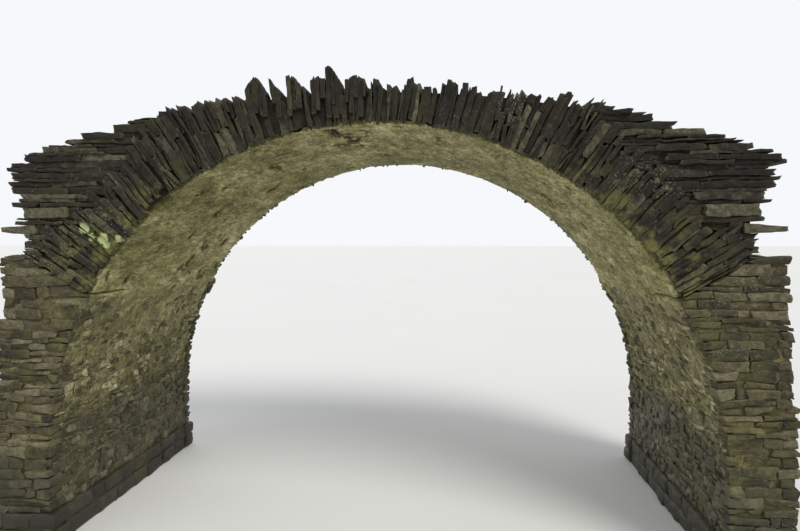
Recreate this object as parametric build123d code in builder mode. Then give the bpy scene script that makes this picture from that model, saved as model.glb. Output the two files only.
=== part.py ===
from build123d import *
from math import cos, radians, sin, sqrt
import os

os.makedirs("parts", exist_ok=True)

# Opening of the arch
intrados_radius = 3000.0
centre_height = 860.0
springing_angle = 30.0

# Width across the bridge and profile of the humped crest
bridge_width = 2920.0
crown_depth = 340.0
hump_radius = 9100.0
haunch_depth = 720.0
wall_thickness = 450.0

# Face ring of radial slabs
slabs_per_segment = 20
segment_angle = (180.0 - 2 * springing_angle) / 5
slab_relief = 14.0
crest_jag = 30.0
jag_rhythm = 2.4

# Barrel behind the face rings and its mortar coat
barrel_depth = 228.0
coat_thickness = 12.0
coat_setback = 60.0

# Track between the edge slabs
edge_upstand = 34.0
track_thickness = 66.0

# Abutments, springers and footings, stepping in towards the top of their hidden ends
abutment_bearing = 330.0
abutment_step = 55.0
abutment_split = 620.0
springer_angle = 5.0
springer_ledge = 20.0
footing_height = 320.0
footing_step = 200.0
footing_toe = 45.0
footing_side = 38.0

# Spandrel walls of flat slabs; the ragged end of each course is a share of the raggedness,
# and the crest line cuts the top courses shorter
wall_run = 20.0
first_course_height = 190.0
wall_course_height = 92.0
wall_end_raggedness = 115.0
wall_end_shares = [-0.45, -0.35, 0.0, 0.5, 0.0, 0.75, 0.45, 1.0, 0.7, 0.0, 0.0, 0.0]
end_wall_thickness = 330.0

# Projecting slab bedded in the second course of each wall
projecting_slab_reach = 190.0
projecting_slab_depth = 300.0
projecting_slab_overhang = 34.0

# Slabs broken back at the edge of the soffit, on the front of the left haunch
break_start = 127.2
break_sweep = 4.8
break_height = 85.0
break_depth = 130.0

# Patch where the coat has fallen off near the crown, and the pits: angle, distance from the front, radius
spall_centre = (-210.0, -830.0)
spall_length = 230.0
spall_width = 190.0
spall_turn = 25.0
soffit_pits = [
    (122.6, 830.0, 42.0),
    (129.8, 1400.0, 55.0),
    (138.7, 2410.0, 45.0),
    (140.5, 1930.0, 26.0),
]

# Upright crest slabs: left edge, right edge and height above the crest line at that place
crest_slab_depth = 260.0
crest_slab_bed = 110.0
crest_tip_share = 0.45
crest_peak_share = 0.35
crest_chip_share = 0.6
crest_chip_drop = 0.08
crest_slabs = [
    (-1070.0, -900.0, 145.0),
    (-865.0, -770.0, 130.0),
    (-720.0, -590.0, 120.0),
    (-510.0, -385.0, 80.0),
    (-378.0, -240.0, 205.0),
    (-220.0, -40.0, 80.0),
]

half_width = bridge_width / 2
inner_half_width = half_width - wall_thickness
stone_radius = intrados_radius + coat_thickness
barrel_radius = stone_radius + barrel_depth
haunch_radius = intrados_radius + haunch_depth
hump_centre_height = centre_height + intrados_radius + crown_depth - hump_radius
track_radius = hump_radius - edge_upstand
track_bed_radius = track_radius - track_thickness
springer_bed_angle = springing_angle - springer_angle
springer_bed = centre_height + intrados_radius * sin(radians(springer_bed_angle))
abutment_joint = centre_height + abutment_split
shoulder_height = centre_height + haunch_radius * sin(radians(springing_angle))
shoulder_reach = haunch_radius * cos(radians(springing_angle))
wall_end = shoulder_reach + wall_run
abutment_end = shoulder_reach + abutment_bearing
footing_end = abutment_end + footing_step
projecting_slab_tip = wall_end + projecting_slab_reach
hump_top = hump_centre_height + hump_radius
projecting_slab_middle = shoulder_height + first_course_height + wall_course_height / 2


def arch_point(radius, angle):
    """Point in the face plane at an angle above the horizontal, seen from the arch centre."""
    return (radius * cos(radians(angle)), centre_height + radius * sin(radians(angle)))


def crest_radius(angle):
    """Distance from the arch centre to the crest line in the direction of an angle."""
    lift = hump_radius - intrados_radius - crown_depth
    across = lift * cos(radians(angle))
    return sqrt(hump_radius**2 - across**2) - lift * sin(radians(angle))


def crest_height(x):
    """Height of the crest line above the base at a distance from the crown."""
    return hump_centre_height + sqrt(hump_radius**2 - x**2)


def slab_end_radius(angle, index):
    """Outer end of a ring slab: jagged along the crest, flush below the spandrel walls."""
    crest = crest_radius(angle)
    if crest > haunch_radius:
        return haunch_radius
    return min(crest - crest_jag * abs(sin(jag_rhythm * index)), haunch_radius)


def face_plane(side):
    """Vertical plane of the front or the back face; positive extrusion points towards the front."""
    return Plane.XZ.offset(half_width * side)


def save(piece, name):
    """Label a finished piece and write its file."""
    piece.part.label = name
    export_step(piece.part, f"parts/{name}.step")


segment_names = ["right_haunch", "right_shoulder", "crown", "left_shoulder", "left_haunch"]
face_sides = {"front": 1, "back": -1}
end_sides = {"left": -1, "right": 1}

# Hollow left by the broken slabs, cut out of the ring and of the coat behind it
with BuildPart() as broken_edge:
    with BuildSketch(Plane.XZ.offset(half_width + slab_relief)):
        with BuildLine():
            root = CenterArc((0, centre_height), intrados_radius - coat_thickness, break_start, break_sweep)
            crown = CenterArc((0, centre_height), stone_radius + break_height, break_start, break_sweep)
            Line(root @ 0, crown @ 0)
            Line(root @ 1, crown @ 1)
        make_face()
    extrude(amount=-break_depth)

# Footing courses
for end_name, end in end_sides.items():
    inner = intrados_radius - footing_toe
    footing_centre = end * (inner + footing_end) / 2
    with BuildPart() as footing:
        with Locations((footing_centre, 0, footing_height / 2)):
            Box(footing_end - inner, bridge_width + 2 * footing_side, footing_height)
    save(footing, f"footing_{end_name}")

# Abutments, their inner faces following the arch circle
abutment_bands = {
    "lower": (footing_height, abutment_joint, abutment_end),
    "upper": (abutment_joint, springer_bed, abutment_end - abutment_step),
}
for end_name, end in end_sides.items():
    for band_name, (bottom, top, reach) in abutment_bands.items():
        with BuildPart() as abutment:
            with BuildSketch(Plane.XZ.offset(half_width)):
                with Locations((end * (reach + intrados_radius / 2) / 2, (bottom + top) / 2)):
                    Rectangle(reach - intrados_radius / 2, top - bottom)
                with Locations((0, centre_height)):
                    Circle(intrados_radius, mode=Mode.SUBTRACT)
                if bottom < centre_height:
                    with Locations((0, bottom)):
                        Rectangle(2 * intrados_radius, 2 * (centre_height - bottom), mode=Mode.SUBTRACT)
            extrude(amount=-bridge_width)
        save(abutment, f"abutment_{end_name}_{band_name}")

# Springer courses with the sloping bed of the ring
for end_name, end in end_sides.items():
    ledge_radius = intrados_radius - springer_ledge
    skew_inner = arch_point(ledge_radius, springing_angle)
    skew_outer = arch_point(haunch_radius, springing_angle)
    bed_inner = (sqrt(ledge_radius**2 - (springer_bed - centre_height) ** 2), springer_bed)
    middle = arch_point(ledge_radius, springing_angle - springer_angle / 2)
    springer_end = abutment_end - 2 * abutment_step
    with BuildPart() as springer:
        with BuildSketch(Plane.XZ.offset(half_width)):
            with BuildLine():
                ThreePointArc(
                    (end * bed_inner[0], bed_inner[1]),
                    (end * middle[0], middle[1]),
                    (end * skew_inner[0], skew_inner[1]),
                )
                Polyline(
                    (end * skew_inner[0], skew_inner[1]),
                    (end * skew_outer[0], skew_outer[1]),
                    (end * springer_end, skew_outer[1]),
                    (end * springer_end, springer_bed),
                    (end * bed_inner[0], bed_inner[1]),
                )
            make_face()
        extrude(amount=-bridge_width)
    save(springer, f"springer_{end_name}")

# Barrel between the face rings
for index, name in enumerate(segment_names):
    start = springing_angle + index * segment_angle
    with BuildPart() as barrel:
        with BuildSketch(Plane.XZ.offset(inner_half_width)):
            with BuildLine():
                inner_arc = CenterArc((0, centre_height), stone_radius, start, segment_angle)
                if name == "crown":
                    outer_start = arch_point(barrel_radius, start)[0]
                    outer_height = hump_centre_height + sqrt(track_bed_radius**2 - outer_start**2)
                    outer_arc = ThreePointArc(
                        (outer_start, outer_height),
                        (0, hump_centre_height + track_bed_radius),
                        (-outer_start, outer_height),
                    )
                else:
                    outer_arc = CenterArc((0, centre_height), barrel_radius, start, segment_angle)
                Line(inner_arc @ 0, outer_arc @ 0)
                Line(inner_arc @ 1, outer_arc @ 1)
            make_face()
        extrude(amount=-2 * inner_half_width)
    save(barrel, f"barrel_{name}")

# Mortar coat on the underside of the barrel
for index, name in enumerate(segment_names):
    start = springing_angle + index * segment_angle
    with BuildPart() as coat:
        with BuildSketch(Plane.XZ.offset(half_width - coat_setback)):
            with BuildLine():
                coat_face = CenterArc((0, centre_height), intrados_radius, start, segment_angle)
                coat_back = CenterArc((0, centre_height), stone_radius, start, segment_angle)
                Line(coat_face @ 0, coat_back @ 0)
                Line(coat_face @ 1, coat_back @ 1)
            make_face()
        extrude(amount=-2 * (half_width - coat_setback))
        if name == "crown":
            with BuildSketch(Plane.XY.offset(centre_height)):
                with Locations(spall_centre):
                    Ellipse(spall_length / 2, spall_width / 2, rotation=spall_turn)
            extrude(amount=2 * intrados_radius, mode=Mode.SUBTRACT)
        for angle, distance, radius in soffit_pits:
            if start < angle < start + segment_angle:
                x, z = arch_point(intrados_radius, angle)
                outward = (x, 0, z - centre_height)
                with BuildSketch(Plane(origin=(x, distance - half_width, z), z_dir=outward)):
                    Circle(radius)
                extrude(amount=2 * coat_thickness, both=True, mode=Mode.SUBTRACT)
        if start < break_start < start + segment_angle:
            add(broken_edge.part, mode=Mode.SUBTRACT)
    save(coat, f"soffit_coat_{name}")

# Face rings of radial slabs, every second slab standing a little proud of its neighbours
slab_angle = segment_angle / slabs_per_segment
slab_root_radius = stone_radius / cos(radians(slab_angle / 2))
for face_name, face in face_sides.items():
    for segment, name in enumerate(segment_names):
        first = segment * slabs_per_segment
        with BuildPart() as ring:
            for parity, relief in ((0, 0.0), (1, slab_relief)):
                with BuildSketch(face_plane(face).offset(face * relief)):
                    for index in range(first, first + slabs_per_segment):
                        if index % 2 != parity:
                            continue
                        start = springing_angle + index * slab_angle
                        end = start + slab_angle
                        with BuildLine():
                            Polyline(
                                arch_point(slab_root_radius, start),
                                arch_point(slab_end_radius(start, index), start),
                                arch_point(slab_end_radius(end, index), end),
                                arch_point(slab_root_radius, end),
                                close=True,
                            )
                        make_face()
                extrude(amount=-face * (wall_thickness + relief))
            if face_name == "front" and name == "left_haunch":
                add(broken_edge.part, mode=Mode.SUBTRACT)
            if name in ("crown", "left_shoulder", "right_shoulder"):
                with BuildSketch(face_plane(face).offset(face * slab_relief)):
                    for left, right, _ in crest_slabs:
                        middle = face * (left + right) / 2
                        with Locations((middle, crest_height(middle))):
                            Rectangle(right - left, 2 * crest_slab_bed)
                extrude(amount=-face * (crest_slab_depth + slab_relief), mode=Mode.SUBTRACT)
        save(ring, f"ring_{face_name}_{name}")

# Upright crest slabs with pointed tops
for face_name, face in face_sides.items():
    with BuildPart() as crest:
        with BuildSketch(face_plane(face)):
            for left, right, rise in crest_slabs:
                middle = (left + right) / 2
                width = right - left
                top = crest_height(middle) + rise
                bed = crest_height(middle) - crest_slab_bed
                shoulder = top - crest_tip_share * width
                with BuildLine():
                    Polyline(
                        (face * left, bed),
                        (face * left, shoulder),
                        (face * (left + crest_peak_share * width), top),
                        (face * (left + crest_chip_share * width), top - crest_chip_drop * width),
                        (face * right, shoulder),
                        (face * right, bed),
                        close=True,
                    )
                make_face()
        extrude(amount=-face * crest_slab_depth)
    save(crest, f"crest_slabs_{face_name}")

# Spandrel walls of flat slabs with ragged ends
for face_name, face in face_sides.items():
    for end_name, end in end_sides.items():
        with BuildPart() as wall:
            for parity, relief in ((0, 0.0), (1, slab_relief)):
                with BuildSketch(face_plane(face).offset(face * relief)):
                    bottom = shoulder_height
                    for course, share in enumerate(wall_end_shares):
                        height = first_course_height if course == 0 else wall_course_height
                        if course % 2 == parity:
                            reach = wall_end + share * wall_end_raggedness
                            middle = end * (reach + intrados_radius / 2) / 2
                            with Locations((middle, bottom + height / 2)):
                                Rectangle(reach - intrados_radius / 2, height)
                        bottom += height
                    with Locations((0, centre_height)):
                        Circle(haunch_radius, mode=Mode.SUBTRACT)
                    with Locations((0, hump_centre_height)):
                        Circle(hump_radius, mode=Mode.INTERSECT)
                extrude(amount=-face * (wall_thickness + relief))
            slot_middle = half_width + slab_relief - projecting_slab_depth / 2
            with Locations((0, -face * slot_middle, projecting_slab_middle)):
                Box(2 * abutment_end, projecting_slab_depth, wall_course_height, mode=Mode.SUBTRACT)
        save(wall, f"spandrel_{face_name}_{end_name}")

# Slabs that project from the ragged ends, one on each face
for end_name, end in end_sides.items():
    with BuildPart() as slabs:
        for face in face_sides.values():
            with BuildSketch(face_plane(face).offset(face * projecting_slab_overhang)):
                with Locations((end * projecting_slab_tip * 3 / 4, projecting_slab_middle)):
                    Rectangle(projecting_slab_tip / 2, wall_course_height)
                with Locations((0, centre_height)):
                    Circle(haunch_radius, mode=Mode.SUBTRACT)
            extrude(amount=-face * (projecting_slab_depth + projecting_slab_overhang - slab_relief))
    save(slabs, f"projecting_slabs_{end_name}")

# Fill above the haunches of the barrel
for end_name, end in end_sides.items():
    inner = barrel_radius * sin(radians(segment_angle / 2))
    outer = wall_end - end_wall_thickness
    with BuildPart() as fill:
        with BuildSketch(Plane.XZ.offset(inner_half_width)):
            with Locations((end * (inner + outer) / 2, (shoulder_height + hump_top) / 2)):
                Rectangle(outer - inner, hump_top - shoulder_height)
            with Locations((0, centre_height)):
                Circle(barrel_radius, mode=Mode.SUBTRACT)
            with Locations((0, hump_centre_height)):
                Circle(track_bed_radius, mode=Mode.INTERSECT)
        extrude(amount=-2 * inner_half_width)
    save(fill, f"fill_{end_name}")

# End walls that close the fill
for end_name, end in end_sides.items():
    with BuildPart() as end_wall:
        with BuildSketch(Plane.XZ.offset(inner_half_width)):
            middle = end * (wall_end - end_wall_thickness / 2)
            with Locations((middle, (shoulder_height + hump_top) / 2)):
                Rectangle(end_wall_thickness, hump_top - shoulder_height)
            with Locations((0, hump_centre_height)):
                Circle(track_bed_radius, mode=Mode.INTERSECT)
        extrude(amount=-2 * inner_half_width)
    save(end_wall, f"end_wall_{end_name}")

# Track surface following the hump
track_joint = barrel_radius * sin(radians(segment_angle / 2))
track_spans = {
    "left": (-wall_end, -track_joint),
    "crown": (-track_joint, track_joint),
    "right": (track_joint, wall_end),
}
for name, (left, right) in track_spans.items():
    with BuildPart() as track:
        with BuildSketch(Plane.XZ.offset(inner_half_width)):
            with Locations(((left + right) / 2, hump_top)):
                Rectangle(right - left, hump_radius)
            with Locations((0, hump_centre_height)):
                Circle(track_radius, mode=Mode.INTERSECT)
                Circle(track_bed_radius, mode=Mode.SUBTRACT)
        extrude(amount=-2 * inner_half_width)
    save(track, f"track_{name}")
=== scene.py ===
"""Looks of a small humped stone bridge: slabs, rubble, mortar and track laid stone by stone.

Every length is in metres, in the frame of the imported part: X along the span, Y across the
bridge with the front at -Y, and Z up from the foot of the abutments.
"""

import logging
import math
from dataclasses import dataclass, field
from enum import Enum
from functools import lru_cache
from itertools import pairwise
from typing import Callable, Sequence

import bpy
import numpy as np
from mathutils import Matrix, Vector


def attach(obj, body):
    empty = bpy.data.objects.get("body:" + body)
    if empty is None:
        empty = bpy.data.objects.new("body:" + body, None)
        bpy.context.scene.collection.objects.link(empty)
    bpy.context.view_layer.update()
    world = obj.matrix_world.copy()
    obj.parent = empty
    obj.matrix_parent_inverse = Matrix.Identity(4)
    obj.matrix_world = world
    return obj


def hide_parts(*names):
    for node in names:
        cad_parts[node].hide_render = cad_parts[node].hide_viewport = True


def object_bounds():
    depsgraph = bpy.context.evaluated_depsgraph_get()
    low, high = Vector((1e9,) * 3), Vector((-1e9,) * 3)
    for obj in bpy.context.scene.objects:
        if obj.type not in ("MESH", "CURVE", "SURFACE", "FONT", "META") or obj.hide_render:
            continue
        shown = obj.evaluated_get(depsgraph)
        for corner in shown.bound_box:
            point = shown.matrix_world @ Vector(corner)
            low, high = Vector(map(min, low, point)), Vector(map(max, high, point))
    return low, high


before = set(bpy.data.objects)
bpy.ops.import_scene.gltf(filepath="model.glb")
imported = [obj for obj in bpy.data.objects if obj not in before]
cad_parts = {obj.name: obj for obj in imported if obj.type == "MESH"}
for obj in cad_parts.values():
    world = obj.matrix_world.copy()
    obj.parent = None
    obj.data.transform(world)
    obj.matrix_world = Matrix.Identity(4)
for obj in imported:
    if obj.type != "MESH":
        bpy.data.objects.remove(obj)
cad_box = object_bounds()

log = logging.getLogger("bridge")

# Main sizes, the same as the part's own
RADIUS = 3.0
CENTRE = 0.86
SPRINGING = math.radians(30.0)
HALF_WIDTH = 1.46
HUMP_RADIUS = 9.1
CREST = CENTRE + RADIUS + 0.34
HAUNCH = RADIUS + 0.72
WALL = 0.45
STONE_RADIUS = RADIUS + 0.012
SHOULDER = CENTRE + HAUNCH * math.sin(SPRINGING)
SHOULDER_REACH = HAUNCH * math.cos(SPRINGING)
WALL_END = SHOULDER_REACH + 0.02
ABUTMENT_END = SHOULDER_REACH + 0.33
FOOTING_END = ABUTMENT_END + 0.2
FOOTING_TOP = 0.32
ABUTMENT_JOINT = CENTRE + 0.62
SPRINGER_BED = CENTRE + RADIUS * math.sin(math.radians(25.0))
LEDGE_RADIUS = RADIUS - 0.02
SKEW_FOOT = CENTRE + LEDGE_RADIUS * math.sin(SPRINGING)
FIRST_COURSE = 0.19
COURSE = 0.092
SLAB_BED = SHOULDER + FIRST_COURSE

# How far the dark sheet in the joints lies behind the slabs' faces: earth, darkened as painted shade
JOINT_DEPTH = 0.055

# The arch's stretches, from the right springing to the left one
STRETCHES = ("right_haunch", "right_shoulder", "crown", "left_shoulder", "left_haunch")

# How far the pieces keep inside the part's box
BOX_MARGIN = 1e-4

# Two ends of a stretch, or the least and greatest of a measure
Span = tuple[float, float]


class Slot(Enum):
    """Places of the finishes in a piece's material list."""

    STONE = 0
    MORTAR = 1


class Side(Enum):
    """Faces of the bridge; the value is the sign of Y."""

    FRONT = -1
    BACK = 1


class End(Enum):
    """Ends of the bridge; the value is the sign of X."""

    LEFT = -1
    RIGHT = 1


def crest_height(x: float) -> float:
    """Height of the humped crest line at a distance from the crown."""
    return CREST - HUMP_RADIUS + math.sqrt(HUMP_RADIUS**2 - x * x)


def crest_radius(angle: float) -> float:
    """Distance from the arch centre to the crest line in one direction."""
    lift = HUMP_RADIUS - (CREST - CENTRE)
    return math.sqrt(HUMP_RADIUS**2 - (lift * math.cos(angle)) ** 2) - lift * math.sin(angle)


def arch_point(radius: float, angle: float, y: float) -> tuple[float, float, float]:
    """Point at a radius and an angle around the arch centre line."""
    return (radius * math.cos(angle), y, CENTRE + radius * math.sin(angle))


def inner_face(z: float) -> float:
    """Distance from the middle of the span to the abutment's inner side at a height."""
    if z <= CENTRE:
        return RADIUS
    rise = z - CENTRE
    skew_rise = LEDGE_RADIUS * math.sin(SPRINGING)
    if rise >= skew_rise:
        return rise / math.tan(SPRINGING)
    radius = LEDGE_RADIUS if z >= SPRINGER_BED - 1e-6 else RADIUS
    return math.sqrt(radius**2 - rise**2)


def value_noise(points: np.ndarray, seed: int) -> np.ndarray:
    """Smooth random values from -1 to 1 over space.

    Args:
        points: Places as rows of three numbers, one cell to a unit.
        seed: Number of the pattern.

    Returns:
        One value for each row.
    """
    cell = np.floor(points).astype(np.int64)
    part = points - cell
    blend = part * part * (3.0 - 2.0 * part)
    total = np.zeros(len(points))
    for corner in range(8):
        step = np.array([corner & 1, (corner >> 1) & 1, (corner >> 2) & 1])
        spot = cell + step
        key = spot[:, 0] * 73856093 ^ spot[:, 1] * 19349663 ^ spot[:, 2] * 83492791
        key = (key ^ (seed * 2654435761)) & 0xFFFFFFFF
        key = ((key ^ (key >> 15)) * 2246822519) & 0xFFFFFFFF
        key = ((key ^ (key >> 13)) * 3266489917) & 0xFFFFFFFF
        key ^= key >> 16
        weight = np.prod(np.where(step, blend, 1.0 - blend), axis=1)
        total += weight * (key / 2147483648.0 - 1.0)
    return total


def fractal(points: np.ndarray, size: float, layers: int, seed: int) -> np.ndarray:
    """Noise summed over finer and finer layers.

    Args:
        points: Places in metres.
        size: Size of the coarsest bumps in metres.
        layers: How many layers are summed.
        seed: Number of the pattern.

    Returns:
        Values of about -1 to 1.
    """
    total = np.zeros(len(points))
    share = 1.0
    whole = 0.0
    for layer in range(layers):
        total += share * value_noise(points * (2.0**layer / size) + 17.3 * layer, seed + layer)
        whole += share
        share *= 0.5
    return total / whole


@lru_cache(maxsize=None)
def block_lattice(across: tuple[int, int, int]) -> tuple[np.ndarray, np.ndarray]:
    """Surface of a block divided into cells.

    Args:
        across: Number of cells along each side.

    Returns:
        Lattice places as whole numbers, and faces as rows of four indices.
    """
    numbers: dict[tuple[int, int, int], int] = {}
    quads: list[list[int]] = []

    def number(place: tuple[int, int, int]) -> int:
        """Index of a lattice place, new places getting the next one."""
        return numbers.setdefault(place, len(numbers))

    for axis in range(3):
        one, two = (axis + 1) % 3, (axis + 2) % 3
        for end in (0, across[axis]):
            for i in range(across[one]):
                for j in range(across[two]):
                    ring = []
                    for di, dj in ((0, 0), (1, 0), (1, 1), (0, 1)):
                        place = [0, 0, 0]
                        place[axis] = end
                        place[one] = i + di
                        place[two] = j + dj
                        ring.append(number(tuple(place)))
                    quads.append(ring if end else ring[::-1])
    return np.array(list(numbers)), np.array(quads)


def cell_places(count: int, margin: float) -> np.ndarray:
    """Places from -1 to 1 whose first and last cells are as narrow as a rounded edge."""
    inner = np.linspace(-1.0 + margin, 1.0 - margin, count - 1)
    return np.concatenate(([-1.0], inner, [1.0]))


@dataclass
class StoneMesh:
    """One piece being built: stones and sheets joined in one mesh, with a tone for each stone.

    Attributes:
        name: Name of the piece.
        seed: Number that its random draws start from.
        points: Vertices of each stone.
        quads: Faces of each stone.
        tones: Place among the colours, for each vertex.
        edges: How near each vertex is to an edge.
        grains: Each vertex in its stone's own coordinates.
        rough: How far the surface wanders.
        shifts: Where the roughness is taken from.
        slots: Finish of each face.
        count: Vertices so far.
    """

    name: str
    seed: int
    points: list[np.ndarray] = field(default_factory=list)
    quads: list[np.ndarray] = field(default_factory=list)
    tones: list[np.ndarray] = field(default_factory=list)
    edges: list[np.ndarray] = field(default_factory=list)
    grains: list[np.ndarray] = field(default_factory=list)
    rough: list[np.ndarray] = field(default_factory=list)
    shifts: list[np.ndarray] = field(default_factory=list)
    slots: list[np.ndarray] = field(default_factory=list)
    count: int = 0

    def __post_init__(self) -> None:
        """Make the piece's own random numbers."""
        self.rng = np.random.default_rng(self.seed)

    def add(
        self,
        points: np.ndarray,
        quads: np.ndarray,
        tone: float | np.ndarray,
        edge: np.ndarray,
        grain: np.ndarray,
        rough: float,
        slot: Slot,
    ) -> None:
        """Add one stone or sheet.

        Args:
            points: Its vertices.
            quads: Its faces, counted from its own first vertex.
            tone: Its place among the colours, from 0 to 1, for all or for each vertex.
            edge: How near each vertex is to an edge, from 0 to 1.
            grain: Its own coordinates in metres, for layers in the stone.
            rough: How far its surface wanders, in metres.
            slot: Its finish.
        """
        shift = self.rng.uniform(-40.0, 40.0, 3)
        self.points.append(points)
        self.quads.append(quads + self.count)
        self.tones.append(np.full(len(points), tone))
        self.edges.append(edge)
        self.grains.append(grain + shift)
        self.rough.append(np.full(len(points), rough))
        self.shifts.append(np.tile(shift, (len(points), 1)))
        self.slots.append(np.full(len(quads), slot.value))
        self.count += len(points)

    def block(
        self,
        corners: np.ndarray,
        rounding: float = 0.008,
        rough: float = 0.006,
        tone: float | None = None,
        cell: float = 0.06,
        most: tuple[int, int, int] = (10, 4, 5),
        ragged: float = 0.0,
    ) -> None:
        """Add a rough stone with worn edges.

        Args:
            corners: Its eight corners, as [length][thickness][depth][xyz].
            rounding: Radius of its worn edges.
            rough: How far its surface wanders.
            tone: Its place among the colours, or None for a random one.
            cell: Size that its faces are divided to, and 0.4 of it through the thickness.
            most: Most cells along length, thickness and depth.
            ragged: How far its two ends are broken back and forth.
        """
        sides = np.array(
            [
                np.linalg.norm((corners[1] - corners[0]).mean(axis=(0, 1))),
                np.linalg.norm((corners[:, 1] - corners[:, 0]).mean(axis=(0, 1))),
                np.linalg.norm((corners[:, :, 1] - corners[:, :, 0]).mean(axis=(0, 1))),
            ]
        )
        half = np.maximum(sides / 2.0, 0.004)
        radius = min(rounding, 0.42 * float(half.min()))
        sizes = (cell, 0.4 * cell, cell)
        cells = tuple(int(min(most[k], max(3, round(sides[k] / sizes[k])))) for k in range(3))
        lattice, quads = block_lattice(cells)
        place = np.stack(
            [cell_places(cells[k], radius / half[k])[lattice[:, k]] for k in range(3)], axis=1
        )
        local = place * half
        core = np.clip(local, -(half - radius), half - radius)
        out = local - core
        length = np.linalg.norm(out, axis=1, keepdims=True)
        local = core + out * np.where(length > radius, radius / np.maximum(length, 1e-9), 1.0)
        share = (local / half + 1.0) / 2.0
        if ragged:
            spot = np.stack([place[:, 1] * 1.9, place[:, 2] * 2.3, np.sign(place[:, 0])], axis=1)
            fray = value_noise(spot + self.rng.uniform(-60.0, 60.0, 3), self.seed)
            share[:, 0] += fray * np.clip(np.abs(place[:, 0]) * 3.0 - 2.0, 0.0, 1.0) * ragged / sides[0]
        points = np.zeros((len(share), 3))
        for i in (0, 1):
            for j in (0, 1):
                for k in (0, 1):
                    weight = (
                        (share[:, 0] if i else 1.0 - share[:, 0])
                        * (share[:, 1] if j else 1.0 - share[:, 1])
                        * (share[:, 2] if k else 1.0 - share[:, 2])
                    )
                    points += weight[:, None] * corners[i, j, k]
        order = np.sort(np.abs(place), axis=1)
        if tone is None:
            tone = float(np.clip(self.rng.normal(0.45, 0.24), 0.0, 1.0))
        self.add(points, quads, tone, order[:, 1] ** 6, local, rough, Slot.STONE)

    def slab(self, corners: np.ndarray, tone: float | None = None) -> None:
        """Add a split slab with thin worn edges and broken ends.

        Args:
            corners: Its eight corners, as [length][thickness][depth][xyz].
            tone: Its place among the colours, or None for a random one.
        """
        self.block(
            corners, rounding=0.005, rough=0.011, tone=tone, cell=0.03, most=(20, 5, 3), ragged=0.024
        )

    def sheet(
        self,
        across: int,
        along: int,
        surface: Callable[[np.ndarray, np.ndarray], np.ndarray],
        tone: float | Callable[[np.ndarray, np.ndarray], np.ndarray],
        slot: Slot,
        turn: bool = False,
    ) -> None:
        """Add an open sheet of square cells.

        Args:
            across: Cells along the first direction.
            along: Cells along the second direction.
            surface: Gives the points for shares from 0 to 1 in both directions.
            tone: Its place among the colours, or what gives it for the shares.
            slot: Its finish.
            turn: Whether its outer side is turned round.
        """
        first, second = np.meshgrid(
            np.linspace(0.0, 1.0, across + 1), np.linspace(0.0, 1.0, along + 1), indexing="ij"
        )
        points = surface(first.ravel(), second.ravel())
        start = (np.arange(across)[:, None] * (along + 1) + np.arange(along)[None, :]).ravel()
        quads = np.stack([start, start + along + 1, start + along + 2, start + 1], axis=1)
        if turn:
            quads = quads[:, ::-1]
        tones = tone(first.ravel(), second.ravel()) if callable(tone) else tone
        self.add(points, quads, tones, np.zeros(len(points)), points, 0.0, slot)

    def body(
        self, cells: tuple[int, int, int], shape: Callable[[np.ndarray], np.ndarray], turn: bool
    ) -> None:
        """Add a closed body of the mortar that holds the stones.

        Args:
            cells: Cells along its three directions.
            shape: Gives the points for shares from 0 to 1 in the three directions.
            turn: Whether the shape mirrors the body, so that its faces are turned round.
        """
        lattice, quads = block_lattice(cells)
        points = shape(lattice / np.array(cells, dtype=float))
        quads = quads[:, ::-1] if turn else quads
        self.add(points, quads, 0.5, np.zeros(len(points)), points, 0.0, Slot.MORTAR)

    def finish(
        self,
        materials: Sequence[bpy.types.Material],
        nodes: Sequence[str],
        sway: Callable[[np.ndarray], np.ndarray] | None = None,
    ) -> bpy.types.Object:
        """Roughen, join and hand over the piece.

        Args:
            materials: Its finishes, in the order of Slot.
            nodes: The part's nodes that it stands for.
            sway: Bends the whole piece a little, so that no course runs dead straight.

        Returns:
            The finished object.
        """
        points = np.concatenate(self.points)
        rough = np.concatenate(self.rough)[:, None]
        shifted = points + np.concatenate(self.shifts)
        wander = np.stack(
            [
                0.6 * value_noise(shifted / 0.11, self.seed + axis)
                + 0.4 * value_noise(shifted / 0.04, self.seed + 7 + axis)
                + 0.3 * np.round(1.8 * value_noise(shifted / 0.075, self.seed + 13 + axis))
                for axis in range(3)
            ],
            axis=1,
        )
        points = points + rough * wander
        if sway is not None:
            points = sway(points)
        low, high = np.array(cad_box[0]), np.array(cad_box[1])
        points = np.clip(points, low + BOX_MARGIN, high - BOX_MARGIN)
        quads = np.concatenate(self.quads)
        mesh = bpy.data.meshes.new(self.name)
        mesh.vertices.add(len(points))
        mesh.vertices.foreach_set("co", points.ravel())
        mesh.loops.add(quads.size)
        mesh.loops.foreach_set("vertex_index", quads.ravel().astype(np.int32))
        mesh.polygons.add(len(quads))
        mesh.polygons.foreach_set("loop_start", np.arange(0, quads.size, 4, dtype=np.int32))
        mesh.polygons.foreach_set("material_index", np.concatenate(self.slots).astype(np.int32))
        mesh.update(calc_edges=True)
        for label, values in (("tone", self.tones), ("edge", self.edges)):
            layer = mesh.attributes.new(label, "FLOAT", "POINT")
            layer.data.foreach_set("value", np.concatenate(values))
        layer = mesh.attributes.new("grain", "FLOAT_VECTOR", "POINT")
        layer.data.foreach_set("vector", np.concatenate(self.grains).ravel())
        mesh.shade_smooth()
        mesh.set_sharp_from_angle(angle=math.radians(38.0))
        for material in materials:
            mesh.materials.append(material)
        piece = bpy.data.objects.new(self.name, mesh)
        bpy.context.scene.collection.objects.link(piece)
        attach(piece, "root")
        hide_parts(*nodes)
        log.info("%s: %d triangles", self.name, 2 * len(quads))
        return piece


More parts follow.
